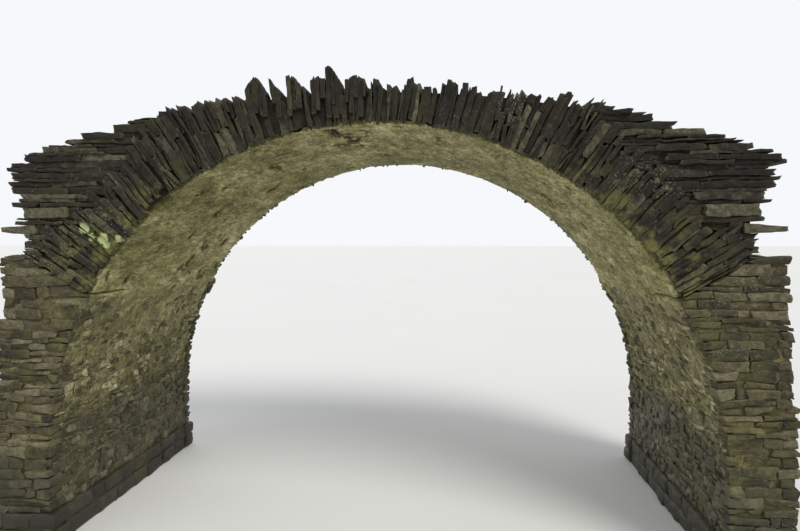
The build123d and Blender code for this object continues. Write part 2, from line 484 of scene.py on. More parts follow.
def box_corners(x: Span, y: Span, z: Span, order: str) -> np.ndarray:
    """Corners of an upright box, with its length, thickness and depth along named axes.

    Args:
        x: Low and high X.
        y: Low and high Y.
        z: Low and high Z.
        order: Axis names for length, thickness and depth, such as "xzy".

    Returns:
        Corners as [length][thickness][depth][xyz].
    """
    spans = {"x": x, "y": y, "z": z}
    corners = np.zeros((2, 2, 2, 3))
    for i in (0, 1):
        for j in (0, 1):
            for k in (0, 1):
                chosen = {order[0]: i, order[1]: j, order[2]: k}
                corners[i, j, k] = [spans[a][chosen[a]] for a in "xyz"]
    return corners


def split_run(
    rng: np.random.Generator, start: float, end: float, least: float, most: float
) -> list[float]:
    """Cut a run into random lengths.

    Args:
        rng: Random numbers.
        start: Start of the run.
        end: End of the run.
        least: Shortest length.
        most: Longest length.

    Returns:
        The cuts, with both ends.
    """
    cuts = [start]
    while end - cuts[-1] > most:
        cuts.append(cuts[-1] + float(rng.uniform(least, most)))
    if end - cuts[-1] < least * 0.6 and len(cuts) > 1:
        cuts.pop()
    cuts.append(end)
    return cuts


Colour = tuple[float, float, float]
Socket = bpy.types.NodeSocket


def shade(red: int, green: int, blue: int) -> tuple[float, float, float, float]:
    """Colour for a shader from its values as seen, from 0 to 255."""

    def linear(value: int) -> float:
        """One channel without the screen's curve."""
        part = value / 255.0
        return part / 12.92 if part <= 0.04045 else ((part + 0.055) / 1.055) ** 2.4

    return (linear(red), linear(green), linear(blue), 1.0)


@dataclass
class NodeBench:
    """Short ways to place and join the nodes of one tree."""

    tree: bpy.types.NodeTree

    def node(self, kind: str, **settings: object) -> bpy.types.Node:
        """Place a node and set its properties."""
        made = self.tree.nodes.new(kind)
        for name, value in settings.items():
            setattr(made, name, value)
        return made

    def feed(self, source: object, target: Socket) -> None:
        """Join a socket to another, or set the target's own value."""
        if isinstance(source, Socket):
            self.tree.links.new(source, target)
        else:
            target.default_value = source

    def math(self, operation: str, *values: object) -> Socket:
        """Work out a number."""
        made = self.node("ShaderNodeMath", operation=operation)
        for index, value in enumerate(values):
            self.feed(value, made.inputs[index])
        return made.outputs[0]

    def times(self, first: object, second: object) -> Socket:
        """Multiply two numbers."""
        return self.math("MULTIPLY", first, second)

    def plus(self, first: object, second: object) -> Socket:
        """Add two numbers."""
        return self.math("ADD", first, second)

    def minus(self, first: object, second: object) -> Socket:
        """Take the second number from the first."""
        return self.math("SUBTRACT", first, second)

    def mix(self, factor: object, first: object, second: object, way: str = "MIX") -> Socket:
        """Mix two colours."""
        made = self.node("ShaderNodeMix", data_type="RGBA", blend_type=way)
        self.feed(factor, made.inputs[0])
        self.feed(first, made.inputs[6])
        self.feed(second, made.inputs[7])
        return made.outputs[2]

    def ramp(self, value: Socket, stops: Sequence[tuple[float, tuple]]) -> Socket:
        """Turn a number into a colour."""
        made = self.node("ShaderNodeValToRGB")
        elements = made.color_ramp.elements
        while len(elements) < len(stops):
            elements.new(0.5)
        for element, (place, colour) in zip(elements, stops):
            element.position = place
            element.color = colour
        self.feed(value, made.inputs[0])
        return made.outputs[0]

    def step(self, value: object, low: object, high: object) -> Socket:
        """Smooth step from 0 at low to 1 at high."""
        made = self.node("ShaderNodeMapRange", interpolation_type="SMOOTHSTEP")
        for index, source in enumerate((value, low, high)):
            self.feed(source, made.inputs[index])
        return made.outputs[0]

    def fall(self, value: object, low: object, high: object) -> Socket:
        """Smooth step from 1 at low to 0 at high."""
        return self.minus(1.0, self.step(value, low, high))

    def blend(self, first: object, share: float, second: object, other: float) -> Socket:
        """Add two numbers, each by its own share."""
        return self.plus(self.times(first, share), self.times(second, other))

    def cover(self, colour: object, mask: object, amount: float, coat: object) -> Socket:
        """Lay a coat of another colour over a colour where a mask says."""
        return self.mix(self.times(mask, amount), colour, coat)

    def vary(
        self, colour: object, value: object, greys: Sequence[tuple[float, tuple]], amount: float = 1.0
    ) -> Socket:
        """Darken and lighten a colour by a number from 0 to 1."""
        return self.mix(amount, colour, self.ramp(value, greys), "MULTIPLY")

    def cells(self, vector: object, scale: object) -> bpy.types.Node:
        """Scatter cells over a vector."""
        made = self.node("ShaderNodeTexVoronoi")
        self.feed(vector, made.inputs["Vector"])
        self.feed(scale, made.inputs["Scale"])
        return made

    def position(self) -> Socket:
        """Place on the surface."""
        return self.node("ShaderNodeNewGeometry").outputs["Position"]

    def noise(self, vector: object, scale: object, detail: float = 4.0, rough: float = 0.55) -> Socket:
        """Noise over a vector, from 0 to 1."""
        made = self.node("ShaderNodeTexNoise")
        self.feed(vector, made.inputs["Vector"])
        self.feed(scale, made.inputs["Scale"])
        made.inputs["Detail"].default_value = detail
        made.inputs["Roughness"].default_value = rough
        return made.outputs[0]

    def stretch(self, vector: object, scale: tuple[float, float, float]) -> Socket:
        """Scale a vector along its axes."""
        made = self.node("ShaderNodeVectorMath", operation="MULTIPLY")
        self.feed(vector, made.inputs[0])
        made.inputs[1].default_value = scale
        return made.outputs[0]

    def attribute(self, name: str, output: str) -> Socket:
        """Read a value kept on the mesh."""
        made = self.node("ShaderNodeAttribute", attribute_name=name)
        return made.outputs[output]

    def bump(self, height: Socket, depth: float, normal: object = None) -> Socket:
        """Bump of a depth in metres, over an earlier normal if given."""
        made = self.node("ShaderNodeBump")
        made.inputs["Distance"].default_value = depth
        self.feed(height, made.inputs["Height"])
        if normal is not None:
            self.feed(normal, made.inputs["Normal"])
        return made.outputs[0]

    def place(self, name: str, values: dict[str, object]) -> bpy.types.Node:
        """Place one of the shared groups with its own values."""
        made = self.node("ShaderNodeGroup")
        made.node_tree = EFFECTS[name]()
        for socket, value in values.items():
            self.feed(value, made.inputs[socket])
        return made


def new_group(
    name: str, inputs: Sequence[tuple[str, str, object]], outputs: Sequence[tuple[str, str]]
) -> tuple[bpy.types.NodeTree, NodeBench, bpy.types.Node, bpy.types.Node]:
    """Start a shared effect.

    Args:
        name: Name of the effect.
        inputs: Name, kind and first value of each input.
        outputs: Name and kind of each output.

    Returns:
        The tree, its bench, and its input and output nodes.
    """
    tree = bpy.data.node_groups.new(name, "ShaderNodeTree")
    for label, kind, value in inputs:
        socket = tree.interface.new_socket(label, in_out="INPUT", socket_type=kind)
        if value is not None:
            socket.default_value = value
    for label, kind in outputs:
        tree.interface.new_socket(label, in_out="OUTPUT", socket_type=kind)
    bench = NodeBench(tree)
    return tree, bench, bench.node("NodeGroupInput"), bench.node("NodeGroupOutput")


@lru_cache(maxsize=None)
def layers_effect() -> bpy.types.NodeTree:
    """Thin split layers in a slab, seen on its sides."""
    tree, bench, given, result = new_group(
        "Split layers",
        [("Grain", "NodeSocketVector", None), ("Fineness", "NodeSocketFloat", 1.0)],
        [("Tone", "NodeSocketFloat"), ("Height", "NodeSocketFloat")],
    )
    grain, fineness = given.outputs["Grain"], given.outputs["Fineness"]
    wide = bench.noise(bench.stretch(grain, (12.0, 60.0, 12.0)), fineness, 4.0, 0.62)
    fine = bench.noise(bench.stretch(grain, (32.0, 190.0, 32.0)), fineness, 3.0, 0.6)
    both = bench.blend(wide, 0.65, fine, 0.35)
    bench.feed(bench.step(both, 0.36, 0.64), result.inputs["Tone"])
    bench.feed(both, result.inputs["Height"])
    return tree


@lru_cache(maxsize=None)
def lichen_effect() -> bpy.types.NodeTree:
    """Crusts of lichen: round blotches gathered in some places and missing in others."""
    tree, bench, given, result = new_group(
        "Lichen",
        [
            ("Position", "NodeSocketVector", None),
            ("Scale", "NodeSocketFloat", 14.0),
            ("Cover", "NodeSocketFloat", 0.3),
        ],
        [("Mask", "NodeSocketFloat")],
    )
    place = given.outputs["Position"]
    wobble = bench.noise(place, 30.0, 3.0)
    cells = bench.cells(place, given.outputs["Scale"])
    reach = bench.plus(cells.outputs["Distance"], bench.times(wobble, 0.5))
    blotch = bench.fall(reach, 0.42, 0.58)
    region = bench.noise(place, 1.7, 4.0, 0.6)
    low = bench.minus(0.78, bench.times(given.outputs["Cover"], 0.5))
    zone = bench.step(region, low, bench.plus(low, 0.1))
    bench.feed(bench.times(blotch, zone), result.inputs["Mask"])
    return tree


@lru_cache(maxsize=None)
def damp_and_shade_effect() -> bpy.types.NodeTree:
    """Dark band that rises from the foot and ends in a ragged line: damp, and on the abutments' inner side
    also painted shade.
    """
    tree, bench, given, result = new_group(
        "Damp and shade at the foot",
        [("Position", "NodeSocketVector", None), ("Top", "NodeSocketFloat", 0.55)],
        [("Mask", "NodeSocketFloat")],
    )
    place = given.outputs["Position"]
    split = bench.node("ShaderNodeSeparateXYZ")
    bench.feed(place, split.inputs[0])
    wobble = bench.times(bench.noise(place, 2.6, 5.0), 0.5)
    level = bench.plus(split.outputs[2], bench.minus(wobble, 0.25))
    low = bench.minus(given.outputs["Top"], 0.35)
    high = bench.plus(given.outputs["Top"], 0.2)
    bench.feed(bench.fall(level, low, high), result.inputs["Mask"])
    return tree


@lru_cache(maxsize=None)
def grit_effect() -> bpy.types.NodeTree:
    """Grit and small pits of rough stone, mortar and earth."""
    tree, bench, given, result = new_group(
        "Grit",
        [("Position", "NodeSocketVector", None), ("Scale", "NodeSocketFloat", 60.0)],
        [("Tone", "NodeSocketFloat"), ("Height", "NodeSocketFloat")],
    )
    place, scale = given.outputs["Position"], given.outputs["Scale"]
    coarse = bench.noise(place, bench.times(scale, 0.22), 5.0, 0.6)
    fine = bench.noise(place, scale, 4.0, 0.65)
    pits = bench.step(bench.cells(place, scale).outputs["Distance"], 0.08, 0.34)
    height = bench.blend(coarse, 1.0, fine, 0.5)
    bench.feed(bench.plus(height, bench.times(pits, 0.25)), result.inputs["Height"])
    tone = bench.blend(coarse, 0.55, fine, 0.45)
    bench.feed(bench.step(tone, 0.34, 0.66), result.inputs["Tone"])
    return tree


@lru_cache(maxsize=None)
def rim_highlight_effect() -> bpy.types.NodeTree:
    """Painted highlight in patches near the edge of the soffit, over the haunches' slabs."""
    tree, bench, given, result = new_group(
        "Soffit rim highlight",
        [("Position", "NodeSocketVector", None), ("Reach", "NodeSocketFloat", 0.2)],
        [("Mask", "NodeSocketFloat")],
    )
    place = given.outputs["Position"]
    centred = bench.node("ShaderNodeVectorMath", operation="SUBTRACT")
    bench.feed(place, centred.inputs[0])
    centred.inputs[1].default_value = (0.0, 0.0, CENTRE)
    spoke = bench.node("ShaderNodeVectorMath", operation="LENGTH")
    bench.feed(bench.stretch(centred.outputs[0], (1.0, 0.0, 1.0)), spoke.inputs[0])
    gap = bench.minus(spoke.outputs["Value"], RADIUS)
    split = bench.node("ShaderNodeSeparateXYZ")
    bench.feed(place, split.inputs[0])
    away = bench.math("ABSOLUTE", split.outputs[0])
    wider = bench.plus(1.0, bench.step(away, 2.3, 2.8))
    reach = bench.times(given.outputs["Reach"], wider)
    near = bench.fall(gap, 0.0, reach)
    cloud = bench.step(bench.noise(place, 5.5, 6.0, 0.68), 0.42, 0.62)
    aside = bench.step(away, 1.3, 2.3)
    share = bench.plus(0.12, bench.times(aside, 0.88))
    bench.feed(bench.times(bench.times(near, cloud), share), result.inputs["Mask"])
    return tree


@lru_cache(maxsize=None)
def wear_effect() -> bpy.types.NodeTree:
    """Worn edges: broken pale lines along the edges of each stone."""
    tree, bench, given, result = new_group(
        "Edge wear",
        [
            ("Edge", "NodeSocketFloat", 0.0),
            ("Position", "NodeSocketVector", None),
            ("Amount", "NodeSocketFloat", 0.6),
        ],
        [("Mask", "NodeSocketFloat")],
    )
    wobble = bench.noise(given.outputs["Position"], 34.0, 4.0, 0.6)
    uneven = bench.times(bench.minus(wobble, 0.5), 1.1)
    mask = bench.step(bench.plus(given.outputs["Edge"], uneven), 0.55, 0.95)
    bench.feed(bench.times(mask, given.outputs["Amount"]), result.inputs["Mask"])
    return tree


EFFECTS: dict[str, Callable[[], bpy.types.NodeTree]] = {
    "layers": layers_effect,
    "lichen": lichen_effect,
    "damp": damp_and_shade_effect,
    "grit": grit_effect,
    "wear": wear_effect,
    "rim": rim_highlight_effect,
}

# Round lichen crusts on the front of the left haunch: X, Z and radius
LICHEN_CRUSTS = (
    (-2.615, 2.965, 0.055),
    (-2.545, 2.885, 0.036),
    (-2.425, 2.870, 0.048),
    (-2.395, 2.815, 0.030),
    (-2.285, 2.868, 0.032),
)

# Greys that a colour is multiplied by, from dark to pale
GREYS = [(0.0, (0.42, 0.41, 0.4, 1.0)), (1.0, (1.0, 1.0, 1.0, 1.0))]
SOFT_GREYS = [(0.0, (0.62, 0.61, 0.6, 1.0)), (1.0, (1.12, 1.12, 1.12, 1.0))]
HARD_GREYS = [(0.0, (0.44, 0.43, 0.4, 1.0)), (1.0, (1.22, 1.22, 1.2, 1.0))]


def start_material(name: str) -> tuple[bpy.types.Material, NodeBench, bpy.types.Node]:
    """Make an empty material with its shader.

    Args:
        name: Name of the material.

    Returns:
        The material, its bench and its shader node.
    """
    material = bpy.data.materials.new(name)
    material.use_nodes = True
    bench = NodeBench(material.node_tree)
    shader = material.node_tree.nodes["Principled BSDF"]
    shader.inputs["Specular IOR Level"].default_value = 0.3
    return material, bench, shader


def crust_mask(bench: NodeBench, place: Socket) -> Socket:
    """Mask of the round lichen crusts.

    Args:
        bench: Bench of the material.
        place: Position on the surface.

    Returns:
        A number from 0 to 1.
    """
    wobble = bench.times(bench.noise(place, 40.0, 4.0, 0.66), 0.06)
    flat = bench.stretch(place, (1.0, 0.25, 1.0))
    total: object = 0.0
    for x, z, radius in LICHEN_CRUSTS:
        gap = bench.node("ShaderNodeVectorMath", operation="DISTANCE")
        bench.feed(flat, gap.inputs[0])
        gap.inputs[1].default_value = (x, -0.25 * HALF_WIDTH, z)
        reach = bench.plus(gap.outputs["Value"], wobble)
        spot = bench.fall(reach, radius + 0.022, radius + 0.036)
        total = bench.math("MAXIMUM", total, spot)
    worn = bench.step(bench.noise(place, 75.0, 4.0, 0.7), 0.36, 0.54)
    return bench.times(total, bench.plus(0.5, bench.times(worn, 0.45)))


@dataclass(frozen=True)
class StoneFinish:
    """Rough stone whose colour changes from one stone to the next.

    Attributes:
        name: Name of the material.
        dark: Colour of the darkest stones.
        middle: Colour of most stones.
        warm: Browner colour of the paler stones.
        pale: Colour of the palest stones and of worn edges.
        lichen: Share of the surface that may carry lichen.
        layers: How strongly the split layers show.
        wear: How strongly the edges are worn.
        damp: Height that the damp rises to, or below zero for none.
        film: Most that the green film covers.
        rim: Most that the painted highlight covers beside the soffit.
        film_colour: Colour of the green film.
    """

    name: str
    dark: Colour
    middle: Colour
    warm: Colour
    pale: Colour
    lichen: float
    layers: float
    wear: float
    damp: float
    film: float
    rim: float = 0.0
    film_colour: Colour = (78, 80, 44)

    def build(self) -> bpy.types.Material:
        """Make the material."""
        material, bench, shader = start_material(self.name)
        place = bench.position()
        grain = bench.attribute("grain", "Vector")
        layers = bench.place("layers", {"Grain": grain, "Fineness": 1.0})
        grit = bench.place("grit", {"Position": place, "Scale": 70.0})
        damp = bench.place("damp", {"Position": place, "Top": self.damp})
        colour = self.bare_colour(bench, grain, layers.outputs["Tone"], grit.outputs["Tone"])
        edge = bench.attribute("edge", "Fac")
        worn = bench.place("wear", {"Edge": edge, "Position": place, "Amount": self.wear})
        colour = bench.mix(worn.outputs["Mask"], colour, shade(*self.pale))
        colour = bench.cover(colour, damp.outputs["Mask"], 0.72, shade(40, 38, 29))
        colour = self.weather_and_highlight(bench, place, colour)
        bench.feed(colour, shader.inputs["Base Color"])
        rough = bench.minus(0.94, bench.times(damp.outputs["Mask"], 0.34))
        split = bench.times(layers.outputs["Tone"], 0.08)
        bench.feed(bench.minus(rough, split), shader.inputs["Roughness"])
        normal = bench.bump(layers.outputs["Height"], 0.008 * self.layers + 0.002)
        bench.feed(bench.bump(grit.outputs["Height"], 0.008, normal), shader.inputs["Normal"])
        return material

    def bare_colour(self, bench: NodeBench, grain: Socket, layers: Socket, grit: Socket) -> Socket:
        """Colour of the stone itself.

        Args:
            bench: Bench of the material.
            grain: The stone's own coordinates.
            layers: Tone of its split layers.
            grit: Tone of its grit.

        Returns:
            The colour before wear, damp and lichen.
        """
        tone = bench.attribute("tone", "Fac")
        blotch = bench.minus(bench.noise(grain, 11.0, 6.0, 0.66), 0.5)
        mixed = bench.plus(tone, bench.times(blotch, 1.1))
        stops = [
            (0.0, shade(*self.dark)),
            (0.36, shade(*self.middle)),
            (0.66, shade(*self.warm)),
            (1.0, shade(*self.pale)),
        ]
        colour = bench.vary(bench.ramp(mixed, stops), layers, GREYS, self.layers)
        mottle = bench.step(bench.noise(grain, 26.0, 6.0, 0.72), 0.38, 0.62)
        return bench.vary(bench.vary(colour, mottle, HARD_GREYS, 0.7), grit, SOFT_GREYS)

    def weather_and_highlight(self, bench: NodeBench, place: Socket, colour: Socket) -> Socket:
        """Lay the green film, the painted highlight beside the soffit and the lichen over a colour.

        Args:
            bench: Bench of the material.
            place: Position on the surface.
            colour: Colour under them.

        Returns:
            The colour with all of them.
        """
        film = bench.step(bench.noise(place, 3.1, 6.0, 0.66), 0.48, 0.68)
        colour = bench.cover(colour, film, self.film, shade(*self.film_colour))
        # Painted highlight: yellow-green light along the soffit's edge
        if self.rim > 0.0:
            near = bench.place("rim", {"Position": place, "Reach": 0.36})
            colour = bench.cover(colour, near.outputs["Mask"], self.rim, shade(116, 113, 62))
        crusts = bench.place("lichen", {"Position": place, "Scale": 13.0, "Cover": self.lichen})
        colour = bench.cover(colour, crusts.outputs["Mask"], 0.42, shade(122, 124, 92))
        specks = bench.place("lichen", {"Position": place, "Scale": 46.0, "Cover": self.lichen + 0.16})
        colour = bench.cover(colour, specks.outputs["Mask"], 0.45, shade(136, 135, 120))
        if self.rim > 0.0:
            colour = bench.mix(crust_mask(bench, place), colour, shade(172, 182, 128))
        return colour


@dataclass(frozen=True)
class MortarFinish:
    """Lime mortar, earth or another soft mass between and over the stones.

    Attributes:
        name: Name of the material.
        dark: Colour of its dark patches.
        middle: Colour of most of it.
        pale: Colour of its pale patches and pebbles.
        green: Most that the ochre and green film cover.
        damp: Height that the damp rises to, or below zero for none.
        pebbles: How strongly pebbles show.
        depth: Depth of its grit in metres.
        speckle: How strongly it is speckled.
        drawn: How many times longer its patches are across the bridge than round the arch.
    """

    name: str
    dark: Colour
    middle: Colour
    pale: Colour
    green: float
    damp: float
    pebbles: float
    depth: float
    speckle: float = 0.55
    drawn: float = 1.0

    def build(self) -> bpy.types.Material:
        """Make the material."""
        material, bench, shader = start_material(self.name)
        spot = bench.position()
        place = bench.stretch(spot, (1.0, 1.0 / self.drawn, 1.0))
        grit = bench.place("grit", {"Position": place, "Scale": 48.0})
        damp = bench.place("damp", {"Position": spot, "Top": self.damp})
        patch = bench.noise(place, 7.5, 6.0, 0.66)
        pebble = self.pebble_mask(bench, place)
        colour = self.bare_colour(bench, place, patch, grit.outputs["Tone"])
        colour = bench.cover(colour, damp.outputs["Mask"], 0.72, shade(42, 40, 30))
        bench.feed(bench.mix(pebble, colour, shade(*self.pale)), shader.inputs["Base Color"])
        wet = bench.times(damp.outputs["Mask"], 0.3)
        bench.feed(bench.minus(0.96, wet), shader.inputs["Roughness"])
        height = bench.plus(grit.outputs["Height"], bench.times(pebble, 0.8))
        normal = bench.bump(patch, self.depth * 1.3)
        bench.feed(bench.bump(height, self.depth, normal), shader.inputs["Normal"])
        return material

    def bare_colour(self, bench: NodeBench, place: Socket, patch: Socket, grit: Socket) -> Socket:
        """Colour of the mortar with its ochre and green film.

        Args:
            bench: Bench of the material.
            place: Position on the surface, drawn out across the bridge.
            patch: Noise of its patches.
            grit: Tone of its grit.

        Returns:
            The colour before damp and pebbles.
        """
        cloud = bench.noise(place, 1.3, 6.0, 0.62)
        stops = [(0.38, shade(*self.dark)), (0.5, shade(*self.middle)), (0.62, shade(*self.pale))]
        colour = bench.vary(bench.ramp(bench.blend(cloud, 0.45, patch, 0.55), stops), grit, SOFT_GREYS)
        speckle = bench.step(bench.noise(place, 24.0, 5.0, 0.7), 0.38, 0.62)
        colour = bench.vary(colour, speckle, HARD_GREYS, self.speckle)
        ochre = bench.step(bench.noise(place, 5.2, 6.0, 0.7), 0.54, 0.68)
        colour = bench.cover(colour, ochre, self.green, shade(138, 122, 62))
        # Low tone darkens the coat: where it is thin, and in the pits as painted shade
        thin = bench.fall(bench.attribute("tone", "Fac"), 0.08, 0.4)
        colour = bench.cover(colour, thin, 0.75, shade(58, 54, 38))
        film = bench.step(bench.noise(place, 2.4, 6.0, 0.68), 0.46, 0.66)
        return bench.cover(colour, film, self.green, shade(106, 105, 62))

    def pebble_mask(self, bench: NodeBench, place: Socket) -> Socket:
        """Mask of the pebbles, some of the cells chosen at random."""
        cells = bench.cells(place, 38.0)
        pebble = bench.fall(cells.outputs["Distance"], 0.16, 0.42)
        chosen = bench.step(bench.noise(cells.outputs["Color"], 3.0, 1.0), 0.48, 0.56)
        return bench.times(bench.times(pebble, chosen), self.pebbles)


class Finish(Enum):
    """Finishes of the bridge."""

    SLATE = StoneFinish(
        "Slate slabs", (25, 23, 19), (42, 39, 32), (50, 45, 35), (100, 96, 77),
        lichen=0.32, layers=0.34, wear=0.24, damp=-1.0, film=0.4, rim=0.7, film_colour=(58, 58, 34),
    )
    FACE = StoneFinish(
        "Abutment stones", (50, 47, 36), (80, 75, 58), (92, 83, 61), (122, 116, 94),
        lichen=0.3, layers=0.4, wear=0.3, damp=0.85, film=0.42, rim=0.32, film_colour=(66, 66, 38),
    )
    # On the inner side the dark band at the foot, up to 1.2 m, is damp and painted shade
    RUBBLE = StoneFinish(
        "Rubble stones", (76, 72, 50), (124, 119, 86), (140, 131, 94), (198, 192, 158),
        lichen=0.2, layers=0.2, wear=0.25, damp=1.2, film=0.36,
    )
    TRACK = StoneFinish(
        "Track stones", (70, 64, 49), (96, 88, 68), (106, 94, 70), (132, 124, 100),
        lichen=0.26, layers=0.15, wear=0.2, damp=-1.0, film=0.3,
    )
    FOOT = StoneFinish(
        "Foot stones", (48, 46, 37), (70, 67, 54), (80, 74, 57), (106, 102, 86),
        lichen=0.1, layers=0.3, wear=0.25, damp=0.5, film=0.35,
    )
    COAT = MortarFinish(
        "Lime coat", (108, 103, 63), (156, 150, 102), (202, 195, 150),
        green=0.34, damp=0.5, pebbles=0.4, depth=0.005, speckle=0.7, drawn=2.6,
    )
    # On the inner side the dark band at the foot, up to 1.2 m, is damp and painted shade
    JOINT = MortarFinish(
        "Joint mortar", (94, 90, 56), (138, 132, 90), (180, 173, 132),
        green=0.4, damp=1.2, pebbles=0.5, depth=0.006,
    )
    OUTER_JOINT = MortarFinish(
        "Outer joint mortar", (58, 54, 36), (84, 79, 53), (112, 106, 76),
        green=0.45, damp=0.8, pebbles=0.4, depth=0.008,
    )
    # Dark earth behind the slabs' faces, darkened further as painted shade in the deep joints
    SHADOW_JOINT = MortarFinish(
        "Earth in the joints", (28, 25, 19), (40, 35, 26), (54, 48, 36),
        green=0.1, damp=-1.0, pebbles=0.1, depth=0.008,
    )
    EARTH = MortarFinish(
        "Packed earth", (78, 66, 46), (104, 90, 65), (130, 116, 88),
        green=0.16, damp=-1.0, pebbles=0.85, depth=0.012, speckle=0.35,
    )


@lru_cache(maxsize=None)
def material_of(kind: Finish) -> bpy.types.Material:
    """Material of one finish, made once."""
    return kind.value.build()


def dressed(*kinds: Finish) -> list[bpy.types.Material]:
    """Materials for a piece, in the order of Slot."""
    return [material_of(kind) for kind in kinds]


def slab_thickness(rng: np.random.Generator) -> float:
    """Thickness of the next slab: most are middling, some thin, a few thick."""
    draw = float(rng.uniform())
    if draw < 0.22:
        return float(rng.uniform(0.017, 0.028))
    if draw < 0.82:
        return float(rng.uniform(0.03, 0.055))
    return float(rng.uniform(0.055, 0.08))


def wavy_beds(low: float, high: float, sway: float) -> Callable[[np.ndarray], np.ndarray]:
    """Bend that makes level beds wander between two heights.

    Args:
        low: Height where it starts.
        high: Height where it ends.
        sway: How far a bed wanders.

    Returns:
        The bend.
    """

    def bend(points: np.ndarray) -> np.ndarray:
        """Shift the points up and down."""
        z = points[:, 2]
        calm = np.clip((z - low) / 0.12, 0.0, 1.0) * np.clip((high - z) / 0.12, 0.0, 1.0)
        bent = points.copy()
        bent[:, 2] += sway * calm * fractal(points * np.array([1.0, 1.0, 1.6]), 0.55, 3, 501)
        return bent

    return bend


def wavy_rays(points: np.ndarray) -> np.ndarray:
    """Bend that makes the radial joints of the arch wander a little."""
    x, z = points[:, 0], points[:, 2] - CENTRE
    angle = np.arctan2(z, x)
    gap = np.minimum(angle - SPRINGING, math.pi - SPRINGING - angle) * RADIUS
    shift = 0.016 * np.clip(gap / 0.15, 0.0, 1.0) * fractal(points, 0.34, 3, 521)
    bent = points.copy()
    bent[:, 0] -= shift * np.sin(angle)
    bent[:, 2] += shift * np.cos(angle)
    return bent


# Upright crest slabs: left edge, right edge, rise above the crest line, and the outline of
# their tops as shares of the width and of the rise
CREST_SLABS = (
    (-1.070, -0.900, 0.145, ((0.0, 0.2), (0.25, 0.6), (0.5, 1.0), (0.75, 0.7), (1.0, 0.1))),
    (-0.865, -0.770, 0.130, ((0.0, 0.85), (0.1, 1.0), (0.5, 0.45), (1.0, 0.0))),
    (-0.720, -0.590, 0.120, ((0.0, 0.8), (0.2, 1.0), (0.5, 0.7), (0.7, 0.85), (1.0, 0.3))),
    (-0.510, -0.385, 0.080, ((0.0, 0.5), (0.3, 0.9), (0.6, 1.0), (1.0, 0.85))),
    (-0.378, -0.240, 0.205, ((0.0, 0.8), (0.12, 1.0), (0.4, 0.75), (0.7, 0.4), (1.0, 0.1))),
    (-0.220, -0.040, 0.080, ((0.0, 0.3), (0.3, 0.8), (0.6, 1.0), (1.0, 0.4))),
)
CREST_BED = 0.11
CREST_DEPTH = 0.26

# Directions between which the soffit's front edge is broken back
BROKEN_EDGE = (math.radians(127.2), math.radians(132.0))


def ring_edge(angle: float) -> float:
    """Outer radius of the radial slabs: short where the flat courses run into the ring."""
    steep = math.degrees(min(angle, math.pi - angle))
    return HAUNCH - 0.22 * float(np.interp(steep, (34.0, 38.0, 48.0, 61.0), (0.0, 1.0, 1.0, 0.0)))


def course_start(z: float) -> float:
    """Distance from the crown at which a flat course leaves the ring."""
    rise = z - CENTRE
    x = 3.4
    while x > 0.0 and math.hypot(x, rise) > ring_edge(math.atan2(rise, x)):
        x -= 0.005
    return x


